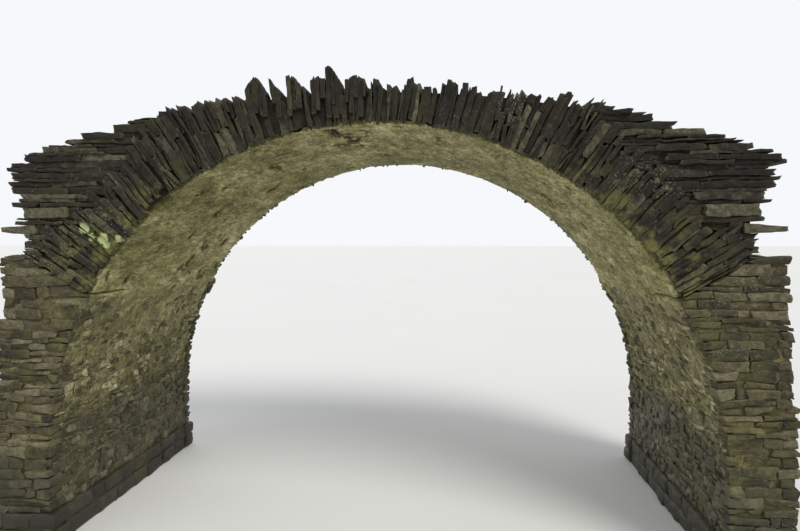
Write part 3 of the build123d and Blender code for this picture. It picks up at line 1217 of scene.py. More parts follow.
@dataclass
class FaceRing:
    """Face ring of slate slabs set on edge, all pointing at the arch centre.

    Attributes:
        side: Face of the bridge.
        joint: Widest joint between two slabs.
        depth: How far the slabs reach in behind the face.
        jag: Most that their outer ends stay below the crest.
        rise_behind: How much higher a slab's inner end lies at its back.
        gauge: Radius at which the slabs' thickness is measured.
        pieces: Least and greatest length of the pieces that a slab is broken into.
        broken: Directions between which the front slabs are broken off at the soffit.
    """

    side: Side
    joint: float = 0.004
    depth: float = 0.45
    jag: float = 0.055
    rise_behind: float = 0.034
    gauge: float = RADIUS + 0.25
    pieces: Span = (0.14, 0.4)
    broken: Span = BROKEN_EDGE

    def under_crest_slab(self, angle: float) -> bool:
        """Whether a crest slab stands on the ring in this direction."""
        x = -self.side.value * crest_radius(angle) * math.cos(angle)
        return any(left - 0.01 < x < right + 0.01 for left, right, _, _ in CREST_SLABS)

    def slab_ends(self, mesh: StoneMesh, angle: float) -> Span:
        """Inner and outer radius of a slab.

        Args:
            mesh: The piece, for its random numbers.
            angle: Direction of the slab.

        Returns:
            Inner and outer radius.
        """
        rng = mesh.rng
        inner = RADIUS + float(rng.uniform(0.004, 0.026))
        if rng.uniform() < 0.15:
            inner += float(rng.uniform(0.012, 0.032))
        if self.side is Side.FRONT and self.broken[0] < angle < self.broken[1]:
            inner = RADIUS + float(rng.uniform(0.05, 0.13))
        crest = crest_radius(angle)
        edge = ring_edge(angle)
        if crest >= edge:
            return inner, edge + float(rng.uniform(-0.13, 0.06))
        if rng.uniform() < 0.16:
            return inner, crest + float(rng.uniform(0.005, 0.035))
        return inner, crest - self.jag * float(rng.uniform(0.0, 1.0)) ** 1.4

    def lay_slab(self, mesh: StoneMesh, angles: Span, radii: Span, depths: Span) -> None:
        """Lay one slab or one length of a slab.

        Args:
            mesh: The piece it goes into.
            angles: Angles of its two sides.
            radii: Radii of its inner and outer end.
            depths: Distances of its face and of its back from the middle of the bridge.
        """
        rng = mesh.rng
        lean = float(rng.normal(0.0, 0.004))
        slants = (float(rng.uniform(-0.012, 0.012)), float(rng.uniform(-0.03, 0.03)))
        corners = np.zeros((2, 2, 2, 3))
        for i, radius in enumerate(radii):
            for j, angle in enumerate(angles):
                for k, depth in enumerate(depths):
                    reach = radius + slants[i] * (j - 0.5) + self.rise_behind * (1 - i) * k
                    turned = angle + lean * i + float(rng.normal(0.0, 0.0019))
                    corners[i, j, k] = arch_point(
                        reach, turned, self.side.value * (depth + float(rng.normal(0.0, 0.006)))
                    )
        mesh.slab(corners)

    def build(self) -> bpy.types.Object:
        """Lay the whole ring."""
        mesh = StoneMesh(f"ring_{self.side.name.lower()}", 11 if self.side is Side.FRONT else 12)
        rng = mesh.rng
        angle = SPRINGING + 0.003
        last = math.pi - SPRINGING - 0.003
        while angle < last:
            step = slab_thickness(rng) / self.gauge
            if last - angle - step < 0.02 / self.gauge:
                step = last - angle
            gap = self.joint / self.gauge * float(rng.uniform(0.35, 1.0))
            angles = (angle + gap / 2, angle + step - gap / 2)
            inner, outer = self.slab_ends(mesh, angle + step / 2)
            face = HALF_WIDTH + float(rng.uniform(-0.018, 0.018))
            if rng.uniform() < 0.14:
                face -= float(rng.uniform(0.008, 0.024))
            back = HALF_WIDTH - self.depth + float(rng.uniform(-0.03, 0.05))
            if self.under_crest_slab(angle + step / 2):
                behind = HALF_WIDTH - CREST_DEPTH - 0.01
                self.lay_slab(mesh, angles, (inner + 0.05, outer), (behind, back))
                bed = crest_radius(angle) - CREST_BED + float(rng.uniform(-0.006, 0.006))
                self.lay_slab(mesh, angles, (inner, bed), (face - 0.025, behind))
            else:
                cuts = split_run(rng, inner, outer, *self.pieces)
                for low, high in pairwise(cuts):
                    out = face - float(rng.uniform(-0.01, 0.012))
                    self.lay_slab(mesh, angles, (low, high - 0.002), (out, back))
            angle += step
        self.fill_joints(mesh)
        nodes = [f"ring_{self.side.name.lower()}_{name}" for name in STRETCHES]
        return mesh.finish(dressed(Finish.SLATE, Finish.SHADOW_JOINT), nodes, wavy_rays)

    def fill_joints(self, mesh: StoneMesh) -> None:
        """Close the joints behind the face, below the crest and above the soffit, with dark sheets: earth,
        darkened as painted shade.
        """
        sign = self.side.value

        def behind_face(along: np.ndarray, up: np.ndarray) -> np.ndarray:
            """Upright sheet a little behind the slabs' faces."""
            angle = SPRINGING + along * (math.pi - 2 * SPRINGING)
            top = np.array([min(crest_radius(a), ring_edge(a)) - 0.07 for a in angle])
            radius = RADIUS + 0.035 + up * (top - RADIUS - 0.035)
            y = np.full(len(along), sign * (HALF_WIDTH - JOINT_DEPTH))
            return np.stack([radius * np.cos(angle), y, CENTRE + radius * np.sin(angle)], axis=1)

        def above_soffit(along: np.ndarray, across: np.ndarray) -> np.ndarray:
            """Curved sheet a little above the slabs' lower ends."""
            angle = SPRINGING + along * (math.pi - 2 * SPRINGING)
            torn = (angle > self.broken[0] - 0.01) & (angle < self.broken[1] + 0.01)
            radius = RADIUS + 0.036 + np.where(torn & (self.side is Side.FRONT), 0.12, 0.0)
            y = sign * (HALF_WIDTH - JOINT_DEPTH - across * (self.depth - JOINT_DEPTH))
            return np.stack([radius * np.cos(angle), y, CENTRE + radius * np.sin(angle)], axis=1)

        mesh.sheet(120, 10, behind_face, 0.5, Slot.MORTAR, turn=sign > 0)
        mesh.sheet(120, 6, above_soffit, 0.5, Slot.MORTAR, turn=sign < 0)


@dataclass
class CrestSlabs:
    """Taller pointed slabs that stand on edge along the crest.

    Attributes:
        side: Face of the bridge.
        lean: How far they lean with the ring, for each metre from the crown and of height.
        layers: Least and greatest thickness of the layers that they are split into.
    """

    side: Side
    lean: float = 0.12
    layers: Span = (0.03, 0.055)

    def build(self) -> bpy.types.Object:
        """Stand the slabs in their places, each split in thin layers."""
        mesh = StoneMesh(f"crest_slabs_{self.side.name.lower()}", 21 if self.side is Side.FRONT else 22)
        rng = mesh.rng
        for left, right, rise, outline in CREST_SLABS:
            width = right - left
            ground = crest_height((left + right) / 2)
            places = [left + share * width for share, _ in outline]
            tops = [ground + share * rise for _, share in outline]
            tone = float(rng.uniform(0.2, 0.6))
            cuts = split_run(rng, left, right, *self.layers)
            for low, high in pairwise(cuts):
                face = HALF_WIDTH + float(rng.uniform(-0.008, 0.02))
                back = HALF_WIDTH - CREST_DEPTH + float(rng.uniform(0.0, 0.06))
                bed = ground - CREST_BED - float(rng.uniform(0.0, 0.17))
                corners = box_corners((low + 0.001, high - 0.001), (face, back), (bed, 0.0), "zxy")
                for j, x in enumerate((low, high)):
                    top = float(np.interp(x, places, tops)) + float(rng.uniform(-0.012, 0.0))
                    corners[1, j, 0, 2] = top
                    corners[1, j, 1, 2] = top - float(rng.uniform(0.01, 0.07))
                corners[1, :, :, 0] += self.lean * low * (rise + CREST_BED)
                corners[..., 0] *= -self.side.value
                corners[..., 1] *= self.side.value
                own = tone + float(rng.uniform(-0.15, 0.15))
                mesh.block(
                    corners, rounding=0.005, rough=0.009, tone=own, cell=0.026, most=(14, 5, 6), ragged=0.012
                )
        return mesh.finish(dressed(Finish.SLATE), [f"crest_slabs_{self.side.name.lower()}"])


@dataclass
class SpandrelWall:
    """Wall of long thin flat slabs between the ring and the ragged end.

    Attributes:
        side: Face of the bridge.
        end: End of the bridge.
        raggedness: How far its ragged end goes out and in.
        shares: Shares of the raggedness, course by course from the lowest.
        long_block: Near end, far end, underside and top of its one long block.
        pieces: Least and greatest length of its slabs.
    """

    side: Side
    end: End
    raggedness: float = 0.115
    shares: tuple[float, ...] = (-0.45, -0.35, 0.0, 0.5, 0.0, 0.75, 0.45, 1.0, 0.7, 0.0)
    long_block: tuple[float, float, float, float] = (2.76, 3.19, 3.056, 3.157)
    pieces: Span = (0.16, 0.62)

    def reach(self, z: float) -> float:
        """How far the wall reaches from the crown at a height."""
        if z < SLAB_BED:
            share = self.shares[0]
        else:
            index = 1 + int((z - SHOULDER - FIRST_COURSE) / COURSE)
            share = self.shares[min(index, len(self.shares) - 1)]
        return WALL_END + share * self.raggedness

    def beds(self, rng: np.random.Generator) -> list[Span]:
        """Underside and top of each course, the long block's and the projecting slab's first."""
        stretches = [
            (SHOULDER + 0.004, SLAB_BED),
            (SLAB_BED + COURSE, self.long_block[2]),
            (self.long_block[3], CREST - 0.2),
        ]
        courses = [self.long_block[2:], (SLAB_BED, SLAB_BED + COURSE)]
        for low, high in stretches:
            level = low
            while level < high - 0.001:
                top = min(level + slab_thickness(rng), high)
                if high - top < 0.016:
                    top = high
                courses.append((level, top))
                level = top
        return courses

    def build(self) -> bpy.types.Object:
        """Lay the wall course by course."""
        name = f"spandrel_{self.side.name.lower()}_{self.end.name.lower()}"
        mesh = StoneMesh(name, 31 + self.end.value + 3 * self.side.value)
        rng = mesh.rng
        for low, high in self.beds(rng):
            middle = (low + high) / 2
            rise = middle - CENTRE
            if rise >= HAUNCH:
                continue
            inner = course_start(middle) - float(rng.uniform(0.05, 0.2))
            fall = CREST - high + 0.004
            limit = math.sqrt(max(HUMP_RADIUS**2 - (HUMP_RADIUS - fall) ** 2, 0.0))
            outer = min(self.reach(middle) + float(rng.uniform(-0.035, 0.03)), limit)
            if low == SLAB_BED:
                outer = math.sqrt(HAUNCH**2 - rise**2)
            if outer - inner < 0.05:
                continue
            if low == self.long_block[2]:
                self.lay_slab(mesh, (inner, self.long_block[0]), (low, high), None, 0.024)
                self.lay_slab(mesh, self.long_block[:2], (low, high), 1.0, -0.008)
                continue
            cuts = split_run(rng, inner, outer, *self.pieces)
            for start, stop in pairwise(cuts):
                self.lay_slab(mesh, (start, stop), (low, high), None, 0.024 if start == inner else 0.0)
        self.fill_joints(mesh)
        bend = wavy_beds(SHOULDER, CREST, 0.012)
        return mesh.finish(dressed(Finish.SLATE, Finish.SHADOW_JOINT), [name], bend)

    def lay_slab(self, mesh: StoneMesh, x: Span, z: Span, tone: float | None, recess: float) -> None:
        """Lay one flat slab.

        Args:
            mesh: The piece it goes into.
            x: How near and how far from the crown it reaches.
            z: Its underside and top.
            tone: Its place among the colours, or None for a random one.
            recess: How far its face stands behind the others, where it runs behind the ring.
        """
        rng = mesh.rng
        face = HALF_WIDTH - recess + float(rng.uniform(-0.018, 0.018))
        if recess == 0.0 and rng.uniform() < 0.14:
            face -= float(rng.uniform(0.008, 0.024))
        back = HALF_WIDTH - WALL + float(rng.uniform(-0.02, 0.08))
        corners = box_corners((x[0] + 0.002, x[1] - 0.002), (face, back), (z[0], z[1] - 0.003), "xzy")
        corners += rng.normal(0.0, 0.0035, corners.shape) * np.array([2.5, 1.5, 1.2])
        corners[..., 0] *= self.end.value
        corners[..., 1] *= self.side.value
        mesh.slab(corners, tone)

    def fill_joints(self, mesh: StoneMesh) -> None:
        """Close the joints behind the slabs' faces with a dark sheet: earth, darkened as painted shade."""
        sign = self.side.value

        def behind_face(along: np.ndarray, up: np.ndarray) -> np.ndarray:
            """Upright sheet behind the faces, from the ring to the ragged end."""
            near, far = 1.8, WALL_END - 0.1
            x = near + along * (far - near)
            top = np.array([crest_height(value) - 0.09 for value in x])
            reach = HAUNCH - 0.24
            low = np.maximum(SHOULDER, CENTRE + np.sqrt(np.maximum(reach**2 - x**2, 0.0)) - 0.05)
            low = np.minimum(low, top)
            y = np.full(len(x), sign * (HALF_WIDTH - JOINT_DEPTH))
            return np.stack([self.end.value * x, y, low + up * (top - low)], axis=1)

        mesh.sheet(30, 20, behind_face, 0.5, Slot.MORTAR)


@dataclass
class ProjectingSlabs:
    """Slabs that stick out of a ragged end, one on the front and one on the back.

    Attributes:
        end: End of the bridge.
        reach: How far they reach past the wall's end.
        depth: How far they reach in behind the face.
        overhang: How far they stand out before the face.
    """

    end: End
    reach: float = 0.19
    depth: float = 0.3
    overhang: float = 0.034

    def build(self) -> bpy.types.Object:
        """Bed both slabs."""
        name = f"projecting_slabs_{self.end.name.lower()}"
        mesh = StoneMesh(name, 41 + self.end.value)
        for side in Side:
            rise = SLAB_BED + COURSE / 2 - CENTRE
            inner = math.sqrt(HAUNCH**2 - rise**2) + 0.004
            outer = WALL_END + self.reach - 0.004
            y = (HALF_WIDTH + self.overhang - 0.006, HALF_WIDTH - self.depth)
            top = SLAB_BED + COURSE - 0.004
            corners = box_corners((inner, outer), y, (SLAB_BED, top), "xzy")
            corners[1, 1, :, 2] -= 0.03
            corners[1, 0, :, 2] += 0.016
            corners[1, :, 0, 0] -= 0.03
            corners[0, :, 0, 1] -= 0.03
            corners[..., 0] *= self.end.value
            corners[..., 1] *= side.value
            # The pale tone of 0.93 is painted light: the slabs are painted as if they catch the light
            mesh.block(
                corners, rounding=0.01, rough=0.008, tone=0.93, cell=0.03, most=(12, 4, 8), ragged=0.012
            )
        return mesh.finish(dressed(Finish.SLATE), [name])


@dataclass
class Abutment:
    """Rubble abutment and springer course, its inner side following the arch circle.

    Attributes:
        end: End of the bridge.
        courses: Least and greatest height of the faces' courses.
        inner_courses: Least and greatest height of the inner side's courses.
        step: How far its outer end steps back at each lift.
        bond: Depth of the stones of its outer end.
        inner_depth: Depth of the stones of its inner side.
        inner_edge: How far the inner side's small stones stay from the faces.
        lengths: Least and greatest length of the faces' stones.
        inner_lengths: Least and greatest length of the inner side's stones.
        end_lengths: Least and greatest length of the outer end's stones.
        joint_depth: How far the mortar lies behind the faces.
        inner_joint_depth: How far the faces' mortar lies behind the inner side.
        end_joint_depth: How far the mortar lies behind the outer end.
        bulge: How far the mortar wanders in and out of the joints.
        sway: How far the beds wander up and down.
    """

    end: End
    courses: Span = (0.036, 0.105)
    inner_courses: Span = (0.036, 0.09)
    step: float = 0.055
    bond: float = 0.14
    inner_depth: float = 0.13
    inner_edge: float = 0.06
    lengths: Span = (0.08, 0.34)
    inner_lengths: Span = (0.05, 0.16)
    end_lengths: Span = (0.12, 0.4)
    joint_depth: float = 0.022
    inner_joint_depth: float = 0.055
    end_joint_depth: float = 0.036
    bulge: float = 0.015
    sway: float = 0.036

    def outer_end(self, z: float) -> float:
        """How far the abutment reaches from the middle of the span at a height."""
        if z < ABUTMENT_JOINT:
            return ABUTMENT_END
        return ABUTMENT_END - (self.step if z < SPRINGER_BED else 2 * self.step)

    def lay_stone(
        self,
        mesh: StoneMesh,
        x: tuple[Span, Span],
        y: Span,
        z: Span,
        order: str,
        worn: float,
        layers: int = 4,
    ) -> None:
        """Lay one stone between two beds.

        Args:
            mesh: The piece it goes into.
            x: Its near and far X at its underside, and the same at its top.
            y: Its Y limits.
            z: Its underside and top.
            order: Axes of its length, thickness and depth.
            worn: Radius of its worn edges.
            layers: Most cells through its thickness.
        """
        corners = box_corners((0.0, 1.0), y, z, order)
        high = corners[..., 2] > (z[0] + z[1]) / 2
        near = np.where(high, x[1][0], x[0][0])
        far = np.where(high, x[1][1], x[0][1])
        corners[..., 0] = near + corners[..., 0] * (far - near)
        corners += mesh.rng.normal(0.0, 0.009, corners.shape)
        corners[..., 0] *= self.end.value
        tone = float(mesh.rng.uniform(0.0, 1.0))
        mesh.block(
            corners, rounding=worn, rough=0.014, tone=tone, cell=0.045, most=(5, layers, 3), ragged=0.016
        )

    def beds(self, rng: np.random.Generator) -> list[float]:
        """Heights of the beds, with the joints of the part kept."""
        beds = split_run(rng, FOOTING_TOP, ABUTMENT_JOINT, *self.courses)
        for top in (SPRINGER_BED, SHOULDER):
            beds = beds[:-1] + split_run(rng, beds[-1], top, *self.courses)
        return beds

    def build(self) -> list[bpy.types.Object]:
        """Lay the inner side, and then the faces and the hidden end."""
        side_name = self.end.name.lower()
        inner = StoneMesh(f"abutment_{side_name}_inner", 51 + self.end.value)
        faces = StoneMesh(f"abutment_{side_name}_faces", 61 + self.end.value)
        beds = self.beds(faces.rng)
        for index, (low, high) in enumerate(pairwise(beds)):
            self.lay_faces(faces, index, low, high - 0.004)
        beds = split_run(inner.rng, FOOTING_TOP, SKEW_FOOT - 0.01, *self.inner_courses)
        for low, high in pairwise(beds):
            self.lay_inner(inner, low, high)
        inner.body((2, 58, 76), self.skin, self.end is End.LEFT)
        faces.body((12, 50, 12), self.core, self.end is End.LEFT)
        nodes = [f"abutment_{side_name}_lower", f"abutment_{side_name}_upper"]
        bend = wavy_beds(FOOTING_TOP, SHOULDER, self.sway)
        return [
            inner.finish(dressed(Finish.RUBBLE, Finish.JOINT), nodes, bend),
            faces.finish(
                dressed(Finish.FACE, Finish.OUTER_JOINT), [f"springer_{side_name}"], bend
            ),
        ]

    def lay_inner(self, mesh: StoneMesh, low: float, high: float) -> None:
        """Lay one course of small stones on the inner side.

        Args:
            mesh: The piece it goes into.
            low: Its underside.
            high: Its top.
        """
        rng = mesh.rng
        near = (inner_face(low), inner_face(high))
        wide = HALF_WIDTH - self.inner_edge
        cuts = split_run(rng, -wide, wide, *self.inner_lengths)
        for left, right in pairwise(cuts):
            out = float(rng.uniform(-0.006, 0.02))
            x = tuple((level + out, level + self.inner_depth) for level in near)
            gap = float(rng.uniform(0.003, 0.009))
            bed, top = (level + float(rng.uniform(-0.011, 0.011)) for level in (low, high))
            self.lay_stone(mesh, x, (left + gap, right - gap), (bed + gap, top - gap), "yzx", 0.024, 3)

    def lay_faces(self, mesh: StoneMesh, index: int, low: float, high: float) -> None:
        """Lay one course of the front, the back and the hidden end.

        Args:
            mesh: The piece it goes into.
            index: Number of the course, for the bond at the corners.
            low: Its underside.
            high: Its top.
        """
        rng = mesh.rng
        near = (inner_face(low), inner_face(high))
        far = self.outer_end((low + high) / 2)
        depth = float(rng.uniform(0.13, 0.22))
        for side in Side:
            end_bond = 0.0 if index % 2 else self.bond
            cuts = split_run(rng, max(near) + 0.002, far - end_bond, *self.lengths)
            for left, right in pairwise(cuts):
                face = HALF_WIDTH + float(rng.uniform(-0.016, 0.014))
                first = left == cuts[0]
                x_low = (near[0] if first else left + 0.004, right - 0.004)
                x_high = (near[1] if first else left + 0.004, right - 0.004)
                y = (side.value * face, side.value * (HALF_WIDTH - depth))
                self.lay_stone(mesh, (x_low, x_high), y, (low, high), "xzy", 0.015)
        wide = HALF_WIDTH - (depth if index % 2 else 0.0)
        cuts = split_run(rng, -wide, wide, *self.end_lengths)
        for left, right in pairwise(cuts):
            span = (far - self.bond, far + float(rng.uniform(-0.022, 0.0)))
            self.lay_stone(mesh, (span, span), (left + 0.004, right - 0.004), (low, high), "yzx", 0.016, 3)

    def mortar_height(self, share: np.ndarray) -> np.ndarray:
        """Heights of the mortar's points, from inside the footing to just below the shoulder."""
        return FOOTING_TOP - 0.02 + share[:, 1] * (SHOULDER - 0.012 - FOOTING_TOP + 0.02)

    def skin(self, share: np.ndarray) -> np.ndarray:
        """Mortar behind the inner stones, which covers more of them towards the springing.

        Args:
            share: Shares from 0 to 1 across, up and along the bridge's width.

        Returns:
            Points of the mortar.
        """
        z = self.mortar_height(share)
        y = (2.0 * share[:, 2] - 1.0) * (HALF_WIDTH - self.inner_edge)
        flat = np.stack([np.zeros(len(z)), y, z], axis=1)
        cover = 0.016 * np.clip((z - 1.5) / 0.7, 0.0, 1.0) * np.where(z < SKEW_FOOT, 1.0, 0.0)
        face = np.array([inner_face(value) for value in z])
        near = face + 0.018 - 0.012 * fractal(flat, 0.3, 4, 531) - cover
        near = np.maximum(near, face - 0.004) + np.where(z > SKEW_FOOT, 0.034, 0.0)
        return np.stack([self.end.value * (near + 0.15 * share[:, 0]), y, z], axis=1)

    def core(self, share: np.ndarray) -> np.ndarray:
        """Mortar in the middle, which reaches almost to the outer stones' faces.

        Args:
            share: Shares from 0 to 1 across, up and along the bridge's width.

        Returns:
            Points of the core.
        """
        z = self.mortar_height(share)
        near = np.array([inner_face(value) for value in z]) + self.inner_joint_depth
        far = np.array([self.outer_end(value) for value in z]) - self.end_joint_depth
        x = near + share[:, 0] * (far - near)
        y = (2.0 * share[:, 2] - 1.0) * (HALF_WIDTH - self.joint_depth)
        bulge = self.bulge * fractal(np.stack([x, np.sign(y), z], axis=1), 0.3, 3, 541)
        y = y + np.where(np.abs(share[:, 2] - 0.5) > 0.499, np.sign(y) * bulge, 0.0)
        return np.stack([self.end.value * x, y, z], axis=1)


@dataclass
class Footing:
    """Foot of bigger, darker stones that stand a little proud of the abutment.

    Attributes:
        end: End of the bridge.
        toe: How far it stands out under the arch.
        side_step: How far it stands out before the faces.
        depth: Depth of its stones.
        lengths: Least and greatest length of the faces' stones.
        end_lengths: Least and greatest length of the stones at its two ends.
        joint_depth: How far the mortar lies behind the stones' faces.
        beds: Heights of its beds.
    """

    end: End
    toe: float = 0.045
    side_step: float = 0.038
    depth: float = 0.26
    lengths: Span = (0.2, 0.42)
    end_lengths: Span = (0.2, 0.46)
    joint_depth: float = 0.03
    beds: tuple[float, ...] = (0.0, 0.17, FOOTING_TOP)

    def build(self) -> bpy.types.Object:
        """Lay the stones course by course."""
        name = f"footing_{self.end.name.lower()}"
        mesh = StoneMesh(name, 71 + self.end.value)
        rng = mesh.rng
        near, far = RADIUS - self.toe, FOOTING_END
        wide = HALF_WIDTH + self.side_step
        for low, high in pairwise(self.beds):
            for side in Side:
                cuts = split_run(rng, near, far, *self.lengths)
                for left, right in pairwise(cuts):
                    face = wide - float(rng.uniform(0.0, 0.02))
                    y = (side.value * face, side.value * (wide - self.depth))
                    self.lay_stone(mesh, (left, right), y, (low, high - 0.004), "xzy")
            for x in ((near, near + self.depth), (far, far - self.depth)):
                cuts = split_run(rng, -wide + self.depth, wide - self.depth, *self.end_lengths)
                for left, right in pairwise(cuts):
                    inset = float(rng.uniform(0.0, 0.02)) * (1 if x[0] == near else -1)
                    self.lay_stone(mesh, (x[0] + inset, x[1]), (left, right), (low, high - 0.004), "yzx")

        def core(share: np.ndarray) -> np.ndarray:
            """Mortar between the stones and under the abutment."""
            x = near + self.joint_depth + share[:, 0] * (far - near - 2 * self.joint_depth)
            y = (2.0 * share[:, 2] - 1.0) * (wide - self.joint_depth)
            return np.stack([self.end.value * x, y, 0.004 + share[:, 1] * (FOOTING_TOP - 0.012)], axis=1)

        mesh.body((20, 8, 60), core, self.end is End.LEFT)
        return mesh.finish(dressed(Finish.FOOT, Finish.OUTER_JOINT), [name])

    def lay_stone(self, mesh: StoneMesh, x: Span, y: Span, z: Span, order: str) -> None:
        """Lay one big stone.

        Args:
            mesh: The piece it goes into.
            x: Its near and far X.
            y: Its Y limits.
            z: Its underside and top.
            order: Axes of its length, thickness and depth.
        """
        corners = box_corners(x, y, z, order)
        corners[..., :2] += mesh.rng.normal(0.0, 0.008, corners[..., :2].shape)
        corners[..., 0] *= self.end.value
        mesh.block(corners, rounding=0.035, rough=0.014, cell=0.045, most=(8, 5, 4))


@dataclass
class Soffit:
    """Underside of the barrel: rows of slabs under a worn coat of mortar.

    Attributes:
        rows: Least and greatest height of the slabs' rows.
        lengths: Least and greatest length of the slabs.
        depth: How far the slabs reach up into the barrel.
        coat: Usual thickness of the coat.
        margin: How far the coat stays from the faces.
        lap: How far the coat reaches down past the springing, in radians.
        spall: X and Y of the spalled patch's middle, and its half sizes along X and Y.
        broken: Directions between which the front edge is broken back, and how far.
        pits: Direction in degrees, distance from the front and radius of each pit.
    """

    rows: Span = (0.04, 0.1)
    lengths: Span = (0.3, 0.8)
    depth: float = 0.12
    coat: float = 0.012
    margin: float = 0.03
    lap: float = 0.055
    spall: tuple[float, float, float, float] = (-0.29, -0.8, 0.19, 0.5)
    broken: tuple[float, float, float] = (*BROKEN_EDGE, 0.13)
    pits: tuple[tuple[float, float, float], ...] = (
        (122.6, 0.83, 0.052),
        (129.8, 1.40, 0.068),
        (138.7, 2.41, 0.062),
        (140.5, 1.93, 0.038),
        (147.3, 1.99, 0.045),
        (101.4, 2.30, 0.032),
    )

    def build(self) -> list[bpy.types.Object]:
        """Lay the barrel's slabs, then spread the coat."""
        barrel = StoneMesh("barrel_slabs", 81)
        rng = barrel.rng
        angle = SPRINGING
        last = math.pi - SPRINGING
        while angle < last - 0.01:
            step = min(float(rng.uniform(*self.rows)) / RADIUS, last - angle)
            cuts = split_run(rng, -HALF_WIDTH + WALL, HALF_WIDTH - WALL, *self.lengths)
            for left, right in pairwise(cuts):
                root = STONE_RADIUS + float(rng.uniform(0.012, 0.03))
                tone = float(rng.uniform(0.0, 0.22))
                corners = np.zeros((2, 2, 2, 3))
                for i, y in ((0, left + 0.003), (1, right - 0.003)):
                    for j, turn in ((0, angle + 0.001), (1, angle + step - 0.001)):
                        for k, radius in ((0, root), (1, root + self.depth)):
                            corners[i, j, k] = arch_point(radius, turn, y)
                barrel.block(corners, rounding=0.008, rough=0.006, tone=tone, cell=0.1, most=(4, 3, 3))
            angle += step
        coat = StoneMesh("soffit_coat", 82)
        coat.sheet(360, 160, self.surface, self.soundness, Slot.STONE, turn=True)
        barrel_nodes = [f"barrel_{name}" for name in STRETCHES]
        coat_nodes = [f"soffit_coat_{name}" for name in STRETCHES]
        return [
            barrel.finish(dressed(Finish.SLATE), barrel_nodes, wavy_rays),
            coat.finish(dressed(Finish.COAT), coat_nodes),
        ]

    def thickness(self, angle: np.ndarray, y: np.ndarray) -> np.ndarray:
        """How thick the coat lies; below zero it has come off and the sheet hides in the slabs.

        Args:
            angle: Directions seen from the arch centre.
            y: Places across the bridge.

        Returns:
            Thickness of the coat.
        """
        flat = np.stack([angle * RADIUS, y, np.zeros(len(y))], axis=1)
        thick = self.coat + 0.006 * fractal(flat, 0.5, 4, 301) + 0.004 * fractal(flat, 0.12, 4, 311)
        edge = HALF_WIDTH - self.margin - np.abs(y)
        ragged = edge - 0.02 + 0.07 * fractal(flat, 0.13, 4, 331)
        thick -= 0.05 * np.clip(1.0 - ragged / 0.03, 0.0, 1.4)
        x = STONE_RADIUS * np.cos(angle)
        spall = np.hypot((x - self.spall[0]) / self.spall[2], (y - self.spall[1]) / self.spall[3])
        spall = np.where(angle < math.radians(120.0), spall, 9.0) + 1.7 * fractal(flat, 0.1, 3, 341)
        thick -= 0.04 * np.clip((0.75 - spall) / 0.5, 0.0, 1.0)
        thick -= 0.075 * self.pitted(angle, y, 0.35)
        thick -= 0.03 * np.clip((fractal(flat, 0.16, 4, 361) - 0.42) / 0.14, 0.0, 1.0)
        in_break = (angle > self.broken[0]) & (angle < self.broken[1]) & (y < self.broken[2] - HALF_WIDTH)
        thick = np.where(edge < 0.09, np.maximum(thick, -0.02), thick) - np.where(in_break, 0.13, 0.0)
        low = np.minimum(angle - SPRINGING, math.pi - SPRINGING - angle) * RADIUS
        opened = np.clip((-0.75 + 0.2 * fractal(flat, 0.4, 3, 371) - y) / 0.2, 0.0, 1.0)
        thick += 0.018 * np.clip(1.0 - low / 0.12, 0.0, 1.0) ** 2 * np.where(low > 0.0, 1.0, 0.0)
        lapped = 0.034 + 0.004 * fractal(flat, 0.12, 4, 311)
        foot = 0.07 + 0.06 * fractal(flat, 0.2, 4, 381)
        lapped -= 0.06 * np.clip((-low - foot) / 0.035, 0.0, 1.0)
        thick = np.where(low > 0.0, thick, np.where(edge < 0.05, -0.03, lapped))
        return thick - 0.04 * opened * np.clip(1.0 - np.abs(low) / 0.022, 0.0, 1.0)

    def pitted(self, angle: np.ndarray, y: np.ndarray, lip: float) -> np.ndarray:
        """How far places lie inside one of the small pits.

        Args:
            angle: Directions seen from the arch centre.
            y: Places across the bridge.
            lip: Width of a pit's sloping edge, as a share of its radius.

        Returns:
            Values from 0 outside the pits to 1 inside them.
        """
        flat = np.stack([angle * RADIUS, y, np.zeros(len(y))], axis=1)
        inside = np.zeros(len(y))
        for degrees, distance, radius in self.pits:
            gap = np.hypot(flat[:, 0] - math.radians(degrees) * RADIUS, y - (distance - HALF_WIDTH))
            gap = gap * (1.0 + 0.5 * fractal(flat, 0.06, 2, 351))
            inside = np.maximum(inside, np.clip((radius - gap) / (lip * radius), 0.0, 1.0))
        return inside

    def place(self, along: np.ndarray, across: np.ndarray) -> tuple[np.ndarray, np.ndarray]:
        """Angle and Y for shares of the way round the arch and across the bridge."""
        start = SPRINGING - self.lap
        return start + along * (math.pi - 2 * start), (2.0 * across - 1.0) * (HALF_WIDTH - self.margin)

    def soundness(self, along: np.ndarray, across: np.ndarray) -> np.ndarray:
        """Tone of the coat: a half where it is sound, less where it is thin or dirty, and less in the pits
        as painted shade.
        """
        angle, y = self.place(along, across)
        return np.clip(self.thickness(angle, y) / 0.02 - 2.0 * self.pitted(angle, y, 0.2), 0.0, 0.5)

    def surface(self, along: np.ndarray, across: np.ndarray) -> np.ndarray:
        """Underside of the coat.

        Args:
            along: Share of the way round the arch.
            across: Share of the way from the front to the back.

        Returns:
            Points of the sheet.
        """
        angle, y = self.place(along, across)
        radius = STONE_RADIUS - self.thickness(angle, y)
        return np.stack([radius * np.cos(angle), y, CENTRE + radius * np.sin(angle)], axis=1)


